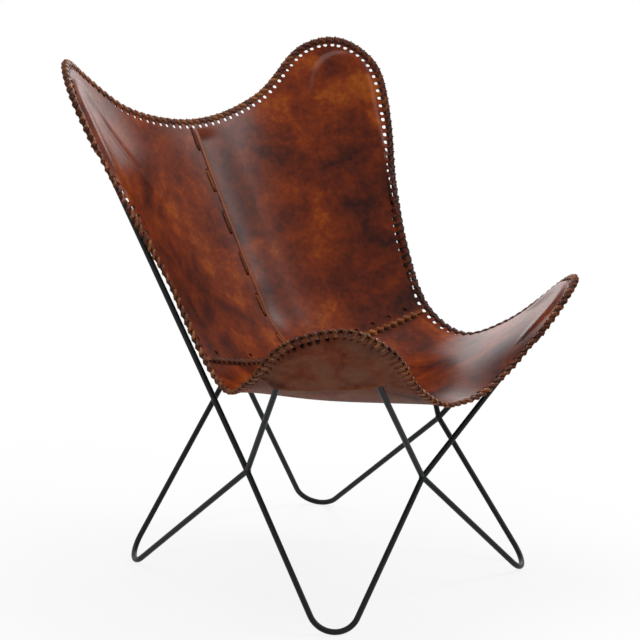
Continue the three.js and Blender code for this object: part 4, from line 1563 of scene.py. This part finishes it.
@dataclass(frozen=True)
class PullFold:
    """A soft valley in the leather that runs down from the left rear ear, from one place to another.

    Its rise and fall are shares of its run, and cell is a cell's size there.
    """

    start: tuple[float, float] = (4.6, 60.4)
    end: tuple[float, float] = (15.5, 48.4)
    cell: float = 13.0
    depth: float = 2.0
    width: float = 8.5
    rise: Fade = (0.0, 0.3)
    fall: Fade = (0.45, 1.0)

    def offset(self, u: Array, v: Array) -> Array:
        """Finds how far the fold moves the leather along its normal.

        Args:
            u: Places from left to right.
            v: Places from front to top.

        Returns:
            Offsets, none of them towards the sitter.
        """
        run = np.subtract(self.end, self.start)
        length = np.linalg.norm(run)
        from_u, from_v = u - self.start[0], v - self.start[1]
        along = (from_u * run[0] + from_v * run[1]) / length**2
        away = (from_u * run[1] - from_v * run[0]) / length * self.cell
        fade = smoothstep(along, *self.rise) * (1.0 - smoothstep(along, *self.fall))
        return -self.depth * np.exp(-((away / self.width) ** 2)) * fade


@dataclass
class SlingPanels(Leather):
    """Seat, left back and right back: the backs lap over the seat, and the left back over the right one.

    A row and a column are a cell's length and width at the seams, and the butts are gaps in cells. A fade
    called foot is measured up from the cross seam, one called head down from the top edge, and one called
    rim in from a side edge.
    """

    row: float = 12.5
    column: float = 11.5
    rim_column: float = 10.8
    cross_butt: float = 0.012
    centre_butt: float = 0.005
    seam_offset: float = 8.0
    lap: float = 24.0
    seat_lap_rim: Fade = (21.5, 30.0)
    right_lap_foot: Fade = (29.0, 36.0)
    right_lap_head: Fade = (36.0, 44.0)
    step_down: float = 3.4
    step_fade: Fade = (0.5, 64.0)
    seat_step_rim: Fade = (15.0, 23.0)
    right_step_foot: Fade = (20.0, 31.0)
    right_step_head: Fade = (12.0, 40.0)
    turned_edge: float = 0.9
    turned_foot: Fade = (10.0, 24.0)
    turned_head: Fade = (14.0, 26.0)
    turned_side: Fade = (6.6, 7.6)
    turned_round: float = 1.2
    turned_drop: float = 0.5
    turned_columns: tuple[float, ...] = (9.5, 8.6, 7.8, 7.2, 6.4, 4.2, 2.2, 1.0, 0.4, 0.0)
    seat_mesh: tuple[int, int] = (150, 96)
    back_rows: int = 124
    left_columns: int = 76
    right_columns: int = 90
    edge_wear: float = 0.8

    def seam_u(self, v: Array) -> Array:
        """Finds the centre seam's raw edge.

        Args:
            v: Places from front to top.

        Returns:
            Places from left to right.
        """
        centre = self.surface.columns / 2
        left, right = (self.surface.raw(np.full_like(v, u), v)[:, 0] for u in (centre - 1, centre))
        return centre - self.seam_offset / (right - left)

    def build(self) -> None:
        """Builds the three panels as closed sheets."""
        s, seam = self.surface, float(self.surface.seat_rows)
        # The seat's upper edge is stepped down and runs on under the backs
        columns, rows = self.seat_mesh
        u = np.repeat(np.linspace(0, s.columns, columns)[:, None], rows, axis=1)
        from_rim = np.minimum(u, s.columns - u) * self.rim_column
        top = seam - self.cross_butt + self.lap / self.row * smoothstep(from_rim, *self.seat_lap_rim)
        v = np.linspace(0, 1, rows)[None, :] * top
        near_seam = 1 - smoothstep((seam - v) * self.row, *self.step_fade)
        down = smoothstep(from_rim, *self.seat_step_rim) * near_seam
        self.panel("seat_panel", u, v, -self.step_down * down)

        # The left back ends in a turned edge along the centre seam
        v = np.linspace(seam + self.cross_butt, s.rows, self.back_rows)
        edge = self.seam_u(v)
        from_foot, from_head = (v - seam) * self.row, (s.rows - v) * self.row
        strip = np.array(self.turned_columns)
        away = np.concatenate([np.full(self.left_columns, strip[0]), strip])[:, None]
        share = np.linspace(0, 1, self.left_columns, endpoint=False)
        share = np.concatenate([share, np.ones(len(strip))])[:, None]
        u = share * (edge - self.centre_butt - away / self.column)
        ends = smoothstep(from_foot, *self.turned_foot) * smoothstep(from_head, *self.turned_head)
        turned = (1 - smoothstep(away, *self.turned_side)) * (share >= 1)
        turned = turned * (1 - self.turned_drop * smoothstep(-away, -self.turned_round, 0.0))
        self.panel("back_panel_left", u, v, self.turned_edge * turned * ends + PullFold().offset(u, v))

        # The right back is stepped down and runs on under the left one
        lapped = smoothstep(from_foot, *self.right_lap_foot) * smoothstep(from_head, *self.right_lap_head)
        first = edge + self.centre_butt - self.lap / self.column * lapped
        u = first + np.linspace(0, 1, self.right_columns)[:, None] * (s.columns - first)
        down = smoothstep(from_foot, *self.right_step_foot) * smoothstep(from_head, *self.right_step_head)
        down = down * (1 - smoothstep((u - edge) * self.column, *self.step_fade))
        self.panel("back_panel_right", u, v, -self.step_down * down)

    def panel(self, node: str, u: Array, v: Array, offset: Array) -> None:
        """Builds one panel from grid places and offsets along the normal."""
        points, normals = self.surface.frame_at(u, np.broadcast_to(v, u.shape))
        self.sheet(node, points + normals * offset[..., None], normals)

    def finish(self, rim_punch: Object, seam_punches: list[Object], holes: Array, finish: Material) -> None:
        """Punches, marks and registers the panels.

        Args:
            rim_punch: The punches along the rim.
            seam_punches: The punches along the seams.
            holes: Middle points of the seams' blind holes.
            finish: The leather's material.
        """
        left, right = self.middle["back_panel_left"], self.middle["back_panel_right"]
        raw_edges = {
            "seat_panel": [],
            "back_panel_left": [left[-1], left[:, 0]],
            "back_panel_right": [right[:, 0]],
        }
        for node, edges in raw_edges.items():
            self.punch(node, [rim_punch, *(seam_punches if edges else [])])
            self.mark(node, edges, self.edge_wear, holes)
            self.dress(node, finish)


@dataclass
class EarPockets(Leather):
    """Four pockets on the outer side, laced to the margin round an ear and open at the mouth."""

    rim: Rim
    mouth_sag: float = 30.0
    mouth_power: float = 2.8
    margin: float = 13.0
    column: float = 4.0
    end_gap: float = 1.0
    inner_rows: int = 21
    row_power: float = 1.25
    rod_zone: float = 7.0
    least: float = 1e-6
    edge_wear: float = 0.35

    def build(self) -> None:
        """Builds each pocket as a closed sheet from the rim in to its mouth."""
        rim, s = self.rim, self.surface
        at_margin, margin_normals = rim.sheet_at(self.margin)
        for ear in s.rods.ears:
            first, last = rim.stretches[ear.name]
            count = int((last - first) / self.column)
            goals = np.linspace(first + self.end_gap, last - self.end_gap, count)
            pick = rim.stations_at(np.mod(goals, rim.length))
            edge = rim.under(rim.edge, rim.normals, ear)[pick]
            margin = rim.under(at_margin, margin_normals, ear)[pick]
            edge_flat, margin_flat = ear.flat(edge), ear.flat(margin)
            # Flat rows run from the rim over the margin to the mouth
            t = np.linspace(0, 1, count)[:, None]
            sag = self.mouth_sag * (1.0 - np.abs(2 * t - 1) ** self.mouth_power)
            mouth = mix(edge_flat[0], edge_flat[-1], t) - sag * np.array([0.0, 1.0])
            inner = np.linspace(0, 1, self.inner_rows + 1)[None, 1:, None] ** self.row_power
            outer_rows = np.stack([edge_flat, mix(edge_flat, margin_flat, 0.5), margin_flat], axis=1)
            flat = np.concatenate([outer_rows, mix(margin_flat[:, None], mouth[:, None], inner)], axis=1)
            points = flat.reshape(-1, 2)
            lines = (margin_flat, ear.flat(ear.line))
            from_margin, from_rod = (line_distance(points, line).reshape(flat.shape[:2]) for line in lines)
            # The pocket comes down from the margin and passes below the rod
            beside = np.maximum(0.0, from_rod - self.rod_zone)
            share = smoothstep(from_margin / (from_margin + beside + self.least), 0.0, 1.0)
            height = ear.height(margin)[:, None] * (1 - share) - s.over_rod * share
            height[:, 0], height[:, 2] = ear.height(edge), ear.height(margin)
            height[:, 1] = (height[:, 0] + height[:, 2]) / 2
            solid = ear.solid(flat, height)
            self.sheet(f"ear_pocket_{ear.name}", solid, np.broadcast_to(ear.normal, solid.shape))

    def finish(self, rim_punch: Object, finish: Material) -> None:
        """Punches, marks and registers the pockets.

        Args:
            rim_punch: The punches along the rim.
            finish: The leather's material.
        """
        for node, middle in self.middle.items():
            self.punch(node, [rim_punch])
            self.mark(node, [middle[:, -1]], self.edge_wear, np.empty((0, 3)))
            self.dress(node, finish)


# Lacing


@dataclass
class Lacing:
    """Runs of lace: each is laid flat by the strand tree, bent onto a track and registered."""

    group: NodeGroup
    finish: Material
    pieces: dict[str, Object] = field(default_factory=dict, init=False)
    sway: ClassVar[float] = 0.035

    def lay(self, node: str, strands: tuple, count: int, pitch: float, palest: float) -> Mesh:
        """Lays a flat run of strands.

        Args:
            node: The CAD node that the run stands for.
            strands: The strand on top, and the one that shows between the others.
            count: The number of each.
            pitch: The distance from one to the next.
            palest: How pale the palest strand is.

        Returns:
            The run's mesh, along X.
        """
        shapes = [strand.build() for strand in strands]
        upper, under = shapes
        values = {"Upper Strand": upper, "Under Strand": under, "Count": count, "Pitch": pitch * MM}
        values |= {"Sway": self.sway, "Palest": palest, "Finish": self.finish}
        values["Seed"] = sum(ord(letter) for letter in node)
        mesh = self.group.run(add_object(f"{node} host", np.zeros((1, 3)), [], None), values)
        for shape in shapes:
            drop(shape)
        return mesh

    def wrap(self, node: str, mesh: Mesh, track: Track, start: float, reach: float) -> None:
        """Bends a run onto its track and registers it.

        Args:
            node: The CAD node that the run stands for.
            mesh: The flat run.
            track: The track.
            start: Where the run starts on it.
            reach: How far a strand reaches to each side.
        """
        track.wrap(mesh, start, reach)
        mesh.name = f"{node}_strands"
        piece = link_object(mesh.name, mesh)
        shade(mesh, LACE_SHARP)
        register(piece, node, Slot.LACE)
        self.pieces[node] = piece


@dataclass
class EdgeLacing(Lacing):
    """A whipped lace over the whole rim: one slanted thong for each punched hole."""

    rim: Rim
    pitch: float = 15.2
    hole: float = 3.9
    hole_depth: float = 12.5
    punch_reach: float = 22.0
    punch_fade: float = 60.0
    punch_turn: float = 0.7
    reach: float = 13.8
    palest: float = 0.95
    count: int = field(init=False)

    def __post_init__(self) -> None:
        """Fits a whole number of strands to the rim."""
        self.count = int(round(self.rim.length / self.pitch))
        self.pitch = self.rim.length / self.count

    def punch(self, punches: Punches) -> Object:
        """Stands the punches for the holes along the rim.

        Args:
            punches: What makes the punches.

        Returns:
            One helper object.
        """
        points, normals = self.rim.sheet_at(self.hole_depth)
        for ear in self.rim.surface.rods.ears:
            share = self.rim.share_in(ear, self.punch_fade)
            normals = unit(mix(normals, np.broadcast_to(ear.normal, normals.shape), self.punch_turn * share))
        pick = self.rim.stations_at(np.arange(self.count) * self.pitch)
        return punches.stand("rim punches", points[pick], normals[pick], self.hole, self.punch_reach)

    def build(self) -> None:
        """Lays the strands of each run and bends them onto the rim. Two runs in shade are painted darker."""
        upper = Strand("upper strand", self.reach, self.pitch, width=6.8, height=2.6, tilt=0.5)
        under = Strand("under strand", self.reach, -self.pitch, width=7.0, height=1.7, start_x=self.pitch)
        # Painted shade: two runs that lie in shade get darker strands
        darker = {"ear_lacing_rear_right": 0.7, "side_edge_lacing_right": 0.3}
        track, stretches = self.rim.track(), self.rim.stretches
        for ear, following, free in zip(EARS_ROUND, EARS_ROUND[1:] + EARS_ROUND[:1], FREE_RUNS):
            first, last = stretches[ear]
            after = stretches[following][0]
            after += self.rim.length if after < last else 0.0
            for node, begin, end in ((f"ear_lacing_{ear}", first, last), (free, last, after)):
                begin, end = math.ceil(begin / self.pitch), math.ceil(end / self.pitch)
                palest = darker.get(node, self.palest)
                mesh = self.lay(node, (upper, under), end - begin, self.pitch, palest)
                self.wrap(node, mesh, track, begin * self.pitch, self.reach)


@dataclass
class SeamLacing(Lacing):
    """Long running stitches down the centre seam, and whipped lace along both halves of the cross seam.

    Holes above the cross seam are measured along it from the nearer rim. The cross seam's track starts a few
    cells inside the rim, which is the rim inset in millimetres.
    """

    panels: SlingPanels
    pitch: float = 15.0
    reach: float = 6.0
    stitch_inset: float = 10.5
    stitch_count: int = 6
    stitch_width: float = 4.8
    stitch_height: float = 1.9
    stitch_extra: float = 0.6
    stitch_palest: float = 0.75
    stitch_reach: float = 5.0
    stitch_ends: tuple[float, float] = (16.0, 12.0)
    stitch_hole: float = 3.1
    seam_hole: float = 4.2
    hole_rise: float = 15.0
    blind_reach: float = 5.4
    left_holes: tuple = (53.0, 163.0)
    right_holes: tuple = (48.0, 84.0, 119.0, 155.0, 190.0)
    rim_cells: float = 2.0
    rim_inset: float = 22.0
    middle_offset: float = 10.0
    run_gap: float = 4.0
    centre_steps: int = 400
    cross_steps: int = 700
    centre: Track = field(init=False)
    cross: Track = field(init=False)
    stitch: float = field(init=False)
    stitch_pick: Array = field(init=False)
    row_points: Array = field(init=False)
    row_normals: Array = field(init=False)
    holes: Array = field(init=False)

    def __post_init__(self) -> None:
        """Finds both tracks and where the stitches lie."""
        s = self.panels.surface
        self.centre, self.cross = self.centre_track(), self.cross_track()
        first, last = self.stitch_ends[0], self.centre.length - self.stitch_ends[1]
        self.stitch = (last - first) / (2 * self.stitch_count - 1)
        ends = first + np.arange(2 * self.stitch_count) * self.stitch
        self.stitch_pick = np.searchsorted(self.centre.stations, ends)
        left = [x - self.rim_inset for x in self.left_holes]
        right = [self.cross.length + self.rim_inset - x for x in self.right_holes]
        u = np.interp(np.array(left + right), self.cross.stations, self.cross_places())
        v = np.full_like(u, s.seat_rows + self.hole_rise / self.panels.row)
        self.row_points, self.row_normals = s.frame_at(u, v)
        self.holes = np.vstack([self.centre.points[self.stitch_pick, 2], self.row_points])

    def cross_places(self) -> Array:
        """Places along the cross seam, from left to right."""
        return np.linspace(self.rim_cells, self.panels.surface.columns - self.rim_cells, self.cross_steps)

    def centre_track(self) -> Track:
        """Lays the stitches' track from the top of the centre seam to the cross seam.

        Returns:
            An open track on the left panel.
        """
        s = self.panels.surface
        v = np.linspace(s.rows, s.seat_rows, self.centre_steps)
        edge = self.panels.seam_u(v)
        places = np.array([-1.0, -0.5, 0.0, 0.5, 1.0])
        aside = (self.stitch_inset - places * self.stitch_reach) / self.panels.column
        points, normals = s.frame_at(edge[:, None] - aside, np.repeat(v[:, None], len(places), axis=1))
        points = points + normals * s.leather / 2
        return Track(reach_along(points[:, 2]), places, points, normals)

    def cross_track(self) -> Track:
        """Lays the cross seam's track from left to right, over the backs' raw edge and down to the seat.

        Returns:
            An open track.
        """
        s = self.panels.surface
        rest = 0.1
        face = s.leather / 2
        over, lower = face + rest, face - self.panels.step_down + rest
        profile = ((7.0, over), (4.5, over), (2.0, over), (0.3, over - rest), (-0.9, rest))
        profile += ((-1.8, lower + 0.5), (-3.2, lower), (-5.0, lower))
        out, height = np.array(profile).T
        u = np.repeat(self.cross_places()[:, None], len(out), axis=1)
        points, normals = s.frame_at(u, np.broadcast_to(s.seat_rows + out / self.panels.row, u.shape))
        points = points + normals * height[:, None]
        up = unit(np.cross(np.gradient(points, axis=1), unit(np.gradient(points, axis=0))))
        up *= np.sign(np.einsum("ijk,ijk->ij", up, normals))[..., None]
        return Track(reach_along(points[:, 3]), np.linspace(-1, 1, len(out)), points, up)

    def punch(self, punches: Punches) -> list[Object]:
        """Stands the punches for the stitches' holes and for the holes above the cross seam.

        Args:
            punches: What makes the punches.

        Returns:
            Two helper objects.
        """
        points, normals = self.centre.points[self.stitch_pick, 2], self.centre.normals[self.stitch_pick, 2]
        face = self.row_points + self.row_normals * self.panels.surface.leather / 2
        return [
            punches.stand("stitch punches", points, normals, self.stitch_hole, self.blind_reach),
            punches.stand("seam punches", face, self.row_normals, self.seam_hole, self.blind_reach),
        ]

    def build(self) -> None:
        """Lays the stitches and the whipped lace."""
        node = "centre_seam_lacing"
        seen = Stitch("stitch", self.stitch + self.stitch_extra, self.stitch_width, self.stitch_height)
        hidden = Stitch("hidden stitch", length=6.0, width=2.0, height=0.2, sink=3.0)
        mesh = self.lay(node, (seen, hidden), self.stitch_count, 2 * self.stitch, self.stitch_palest)
        self.wrap(node, mesh, self.centre, self.stitch_ends[0] + self.stitch / 2, self.stitch_reach)
        middle, gap = self.cross.length / 2 - self.middle_offset, self.run_gap
        runs = (
            ("cross_seam_lacing_left", gap, middle - gap, 13.0, 0.6),
            ("cross_seam_lacing_right", middle + gap, self.cross.length - gap, 6.0, 1.3),
        )
        for node, first, last, drift, palest in runs:
            count = int((last - first) / self.pitch)
            upper = Strand("seam strand", self.reach, drift, width=8.0, height=1.7, tilt=0.4, dive=1.6)
            shape = {"width": 6.6, "height": 0.9, "start_x": drift, "dive": 1.4}
            under = Strand("seam under strand", self.reach, -drift, **shape)
            mesh = self.lay(node, (upper, under), count, (last - first) / count, palest)
            self.wrap(node, mesh, self.cross, first, self.reach)


# Studio and main


@dataclass
class Studio:
    """A white floor and soft lights, with the camera at the photograph's angle.

    Lengths are metres, apart from the lens and the sensor, which are millimetres.
    """

    azimuth: float = -44.663
    elevation: float = 12.770
    target: Triple = (0.0, 0.0167, 0.4466)
    distance: float = 3.680
    lens: float = 117.82
    sensor: float = 36.0
    floor_size: float = 14.0
    aim: Triple = (0.0, 0.0, 0.5)
    lights: tuple = (
        ("key softbox", (1.75, -1.2, 2.7), 0.9, 33.0),
        ("top softbox", (-0.1, 0.7, 3.0), 1.8, 36.0),
        ("back softbox", (1.95, 1.4, 1.1), 1.7, 20.0),
    )
    surroundings: float = 0.34

    def build(self) -> None:
        """Adds the floor, the lights, the surroundings and the camera."""
        bpy.ops.mesh.primitive_plane_add(size=self.floor_size)
        floor = bpy.context.object
        floor.name = "studio_floor"
        floor.data.materials.append(self.floor_finish())
        for name, place, size, power in self.lights:
            lamp = bpy.data.lights.new(name, "AREA")
            lamp.size, lamp.energy = size, power
            self.stand(name, lamp, Vector(place), Vector(self.aim) - Vector(place))
        world = bpy.data.worlds.new("white surroundings")
        world.use_nodes = True
        tree = world.node_tree
        ground = tree.nodes["Background"]
        ground.inputs["Color"].default_value = (1.0, 1.0, 1.0, 1.0)
        settings = {"data_type": "FLOAT", 2: self.surroundings, 3: 1.0}
        strength = add_node(tree, "ShaderNodeMix", settings, Factor=self.seen_directly(tree))
        tree.links.new(strength.outputs[0], ground.inputs["Strength"])
        bpy.context.scene.world = world
        a, e = math.radians(self.azimuth), math.radians(self.elevation)
        back = Vector((math.sin(a) * math.cos(e), -math.cos(a) * math.cos(e), math.sin(e)))
        camera = bpy.data.cameras.new("photo camera")
        camera.lens, camera.sensor_width = self.lens, self.sensor
        place = Vector(self.target) + back * self.distance
        bpy.context.scene.camera = self.stand("photo camera", camera, place, -back)
        bpy.context.scene.view_settings.view_transform = "Standard"

    def stand(self, name: str, data: bpy.types.ID, place: Vector, look: Vector) -> Object:
        """Adds a light or a camera.

        Args:
            name: Its name.
            data: The light or the camera.
            place: Where it stands.
            look: The direction in which it looks.

        Returns:
            The object that holds it.
        """
        holder = link_object(name, data)
        holder.location = place
        holder.rotation_euler = look.to_track_quat("-Z", "Y").to_euler()
        return holder

    def seen_directly(self, tree: NodeTree) -> NodeSocket:
        """Tells what the camera sees, straight, mirrored or through glass, from what only lights the scene.

        Args:
            tree: The tree that asks.

        Returns:
            1 for the former and 0 for the latter.
        """
        path = add_node(tree, "ShaderNodeLightPath").outputs
        seen = path["Is Camera Ray"]
        for other in ("Is Glossy Ray", "Is Transmission Ray"):
            links = {"n0": seen, "n1": path[other]}
            seen = add_node(tree, "ShaderNodeMath", {"operation": "MAXIMUM"}, **links).outputs[0]
        return seen

    def floor_finish(self) -> Material:
        """Builds the floor's material.

        Returns:
            White studio paper: the chair's soft shadow shows on it, and it fades to plain white further out.
        """
        # Matt paper: the eye gets a white ground with one soft shadow
        values = {"Base Color": (0.92, 0.92, 0.92, 1.0), "Roughness": 0.9}
        material, tree, shader = new_material("white studio paper", values)
        place = add_node(tree, "ShaderNodeTexCoord").outputs["Object"]
        away = add_node(tree, "ShaderNodeVectorMath", {"operation": "LENGTH"}, n0=place).outputs["Value"]
        settings = {"From Min": 0.5, "From Max": 1.3, "To Min": 0.84, "To Max": 1.0}
        white = add_node(tree, "ShaderNodeMapRange", settings, Value=away).outputs[0]
        links = {"n0": white, "n1": self.seen_directly(tree)}
        factor = add_node(tree, "ShaderNodeMath", {"operation": "MULTIPLY"}, **links).outputs[0]
        glow = add_node(tree, "ShaderNodeEmission", {"Strength": 1.0}).outputs[0]
        links = {"n0": factor, "n1": shader.outputs[0], "n2": glow}
        mixed = add_node(tree, "ShaderNodeMixShader", **links).outputs[0]
        tree.links.new(mixed, tree.nodes["Material Output"].inputs["Surface"])
        return material


def sling_tree(surface: SlingSurface, cells: int = 4) -> BVHTree:
    """Makes a search tree of the sling's middle surface.

    Args:
        surface: The sling.
        cells: Squares of the tree along each cell of the sling's grid.

    Returns:
        The tree, in millimetres.
    """
    places = [np.linspace(0, count, count * cells + 1) for count in (surface.columns, surface.rows)]
    u, v = np.meshgrid(*places, indexing="ij")
    return BVHTree.FromPolygons(surface.at(u, v).reshape(-1, 3).tolist(), grid_faces(*u.shape))


def declare_sheets(panels: SlingPanels, pockets: EarPockets, laces: dict[str, Object]) -> None:
    """Args:
        panels: The sling's panels.
        pockets: Its pockets.
        laces: Every run of lace by its CAD node.
    """
    hung = {
        "seat_panel": ("front", ("front_edge", "side_edge", "ear_lacing_front")),
        "back_panel_left": ("rear_left", ("ear_lacing_rear_left", "cross_seam_lacing_left", "centre_seam")),
        "back_panel_right": ("rear_right", ("ear_lacing_rear_right", "cross_seam_lacing_right", "top_edge")),
    }
    for node, (ears, starts) in hung.items():
        rests_on = [name for name in pockets.pieces if ears in name]
        panels.declare(node, Held.HUNG, rests_on, [laces[name] for name in laces if name.startswith(starts)])
    for node in pockets.pieces:
        pockets.declare(node, Held.STRETCHED, [node.replace("ear_pocket", "ear_hairpin")], [])


def main() -> None:
    """Builds the chair and the studio."""
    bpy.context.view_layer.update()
    rods = RodFrame()
    rods.plan()
    rods.build()
    rods.dress(PowderCoat().material())
    surface = SlingSurface(rods)
    rim = Rim(surface, sling_tree(surface))
    hide, lace = WaxedLeather().material(), LaceLeather().material()

    panels, pockets = SlingPanels(surface), EarPockets(surface, rim)
    panels.build()
    pockets.build()
    group, punches = strand_group(), Punches(hide)
    edging, seams = EdgeLacing(group, lace, rim), SeamLacing(group, lace, panels)
    rim_punch, seam_punches = edging.punch(punches), seams.punch(punches)
    panels.finish(rim_punch, seam_punches, seams.holes, hide)
    pockets.finish(rim_punch, hide)
    for tool in punches.tools:
        drop(tool)
    edging.build()
    seams.build()
    declare_sheets(panels, pockets, edging.pieces | seams.pieces)
    Studio().build()


if __name__ == "__main__":
    main()
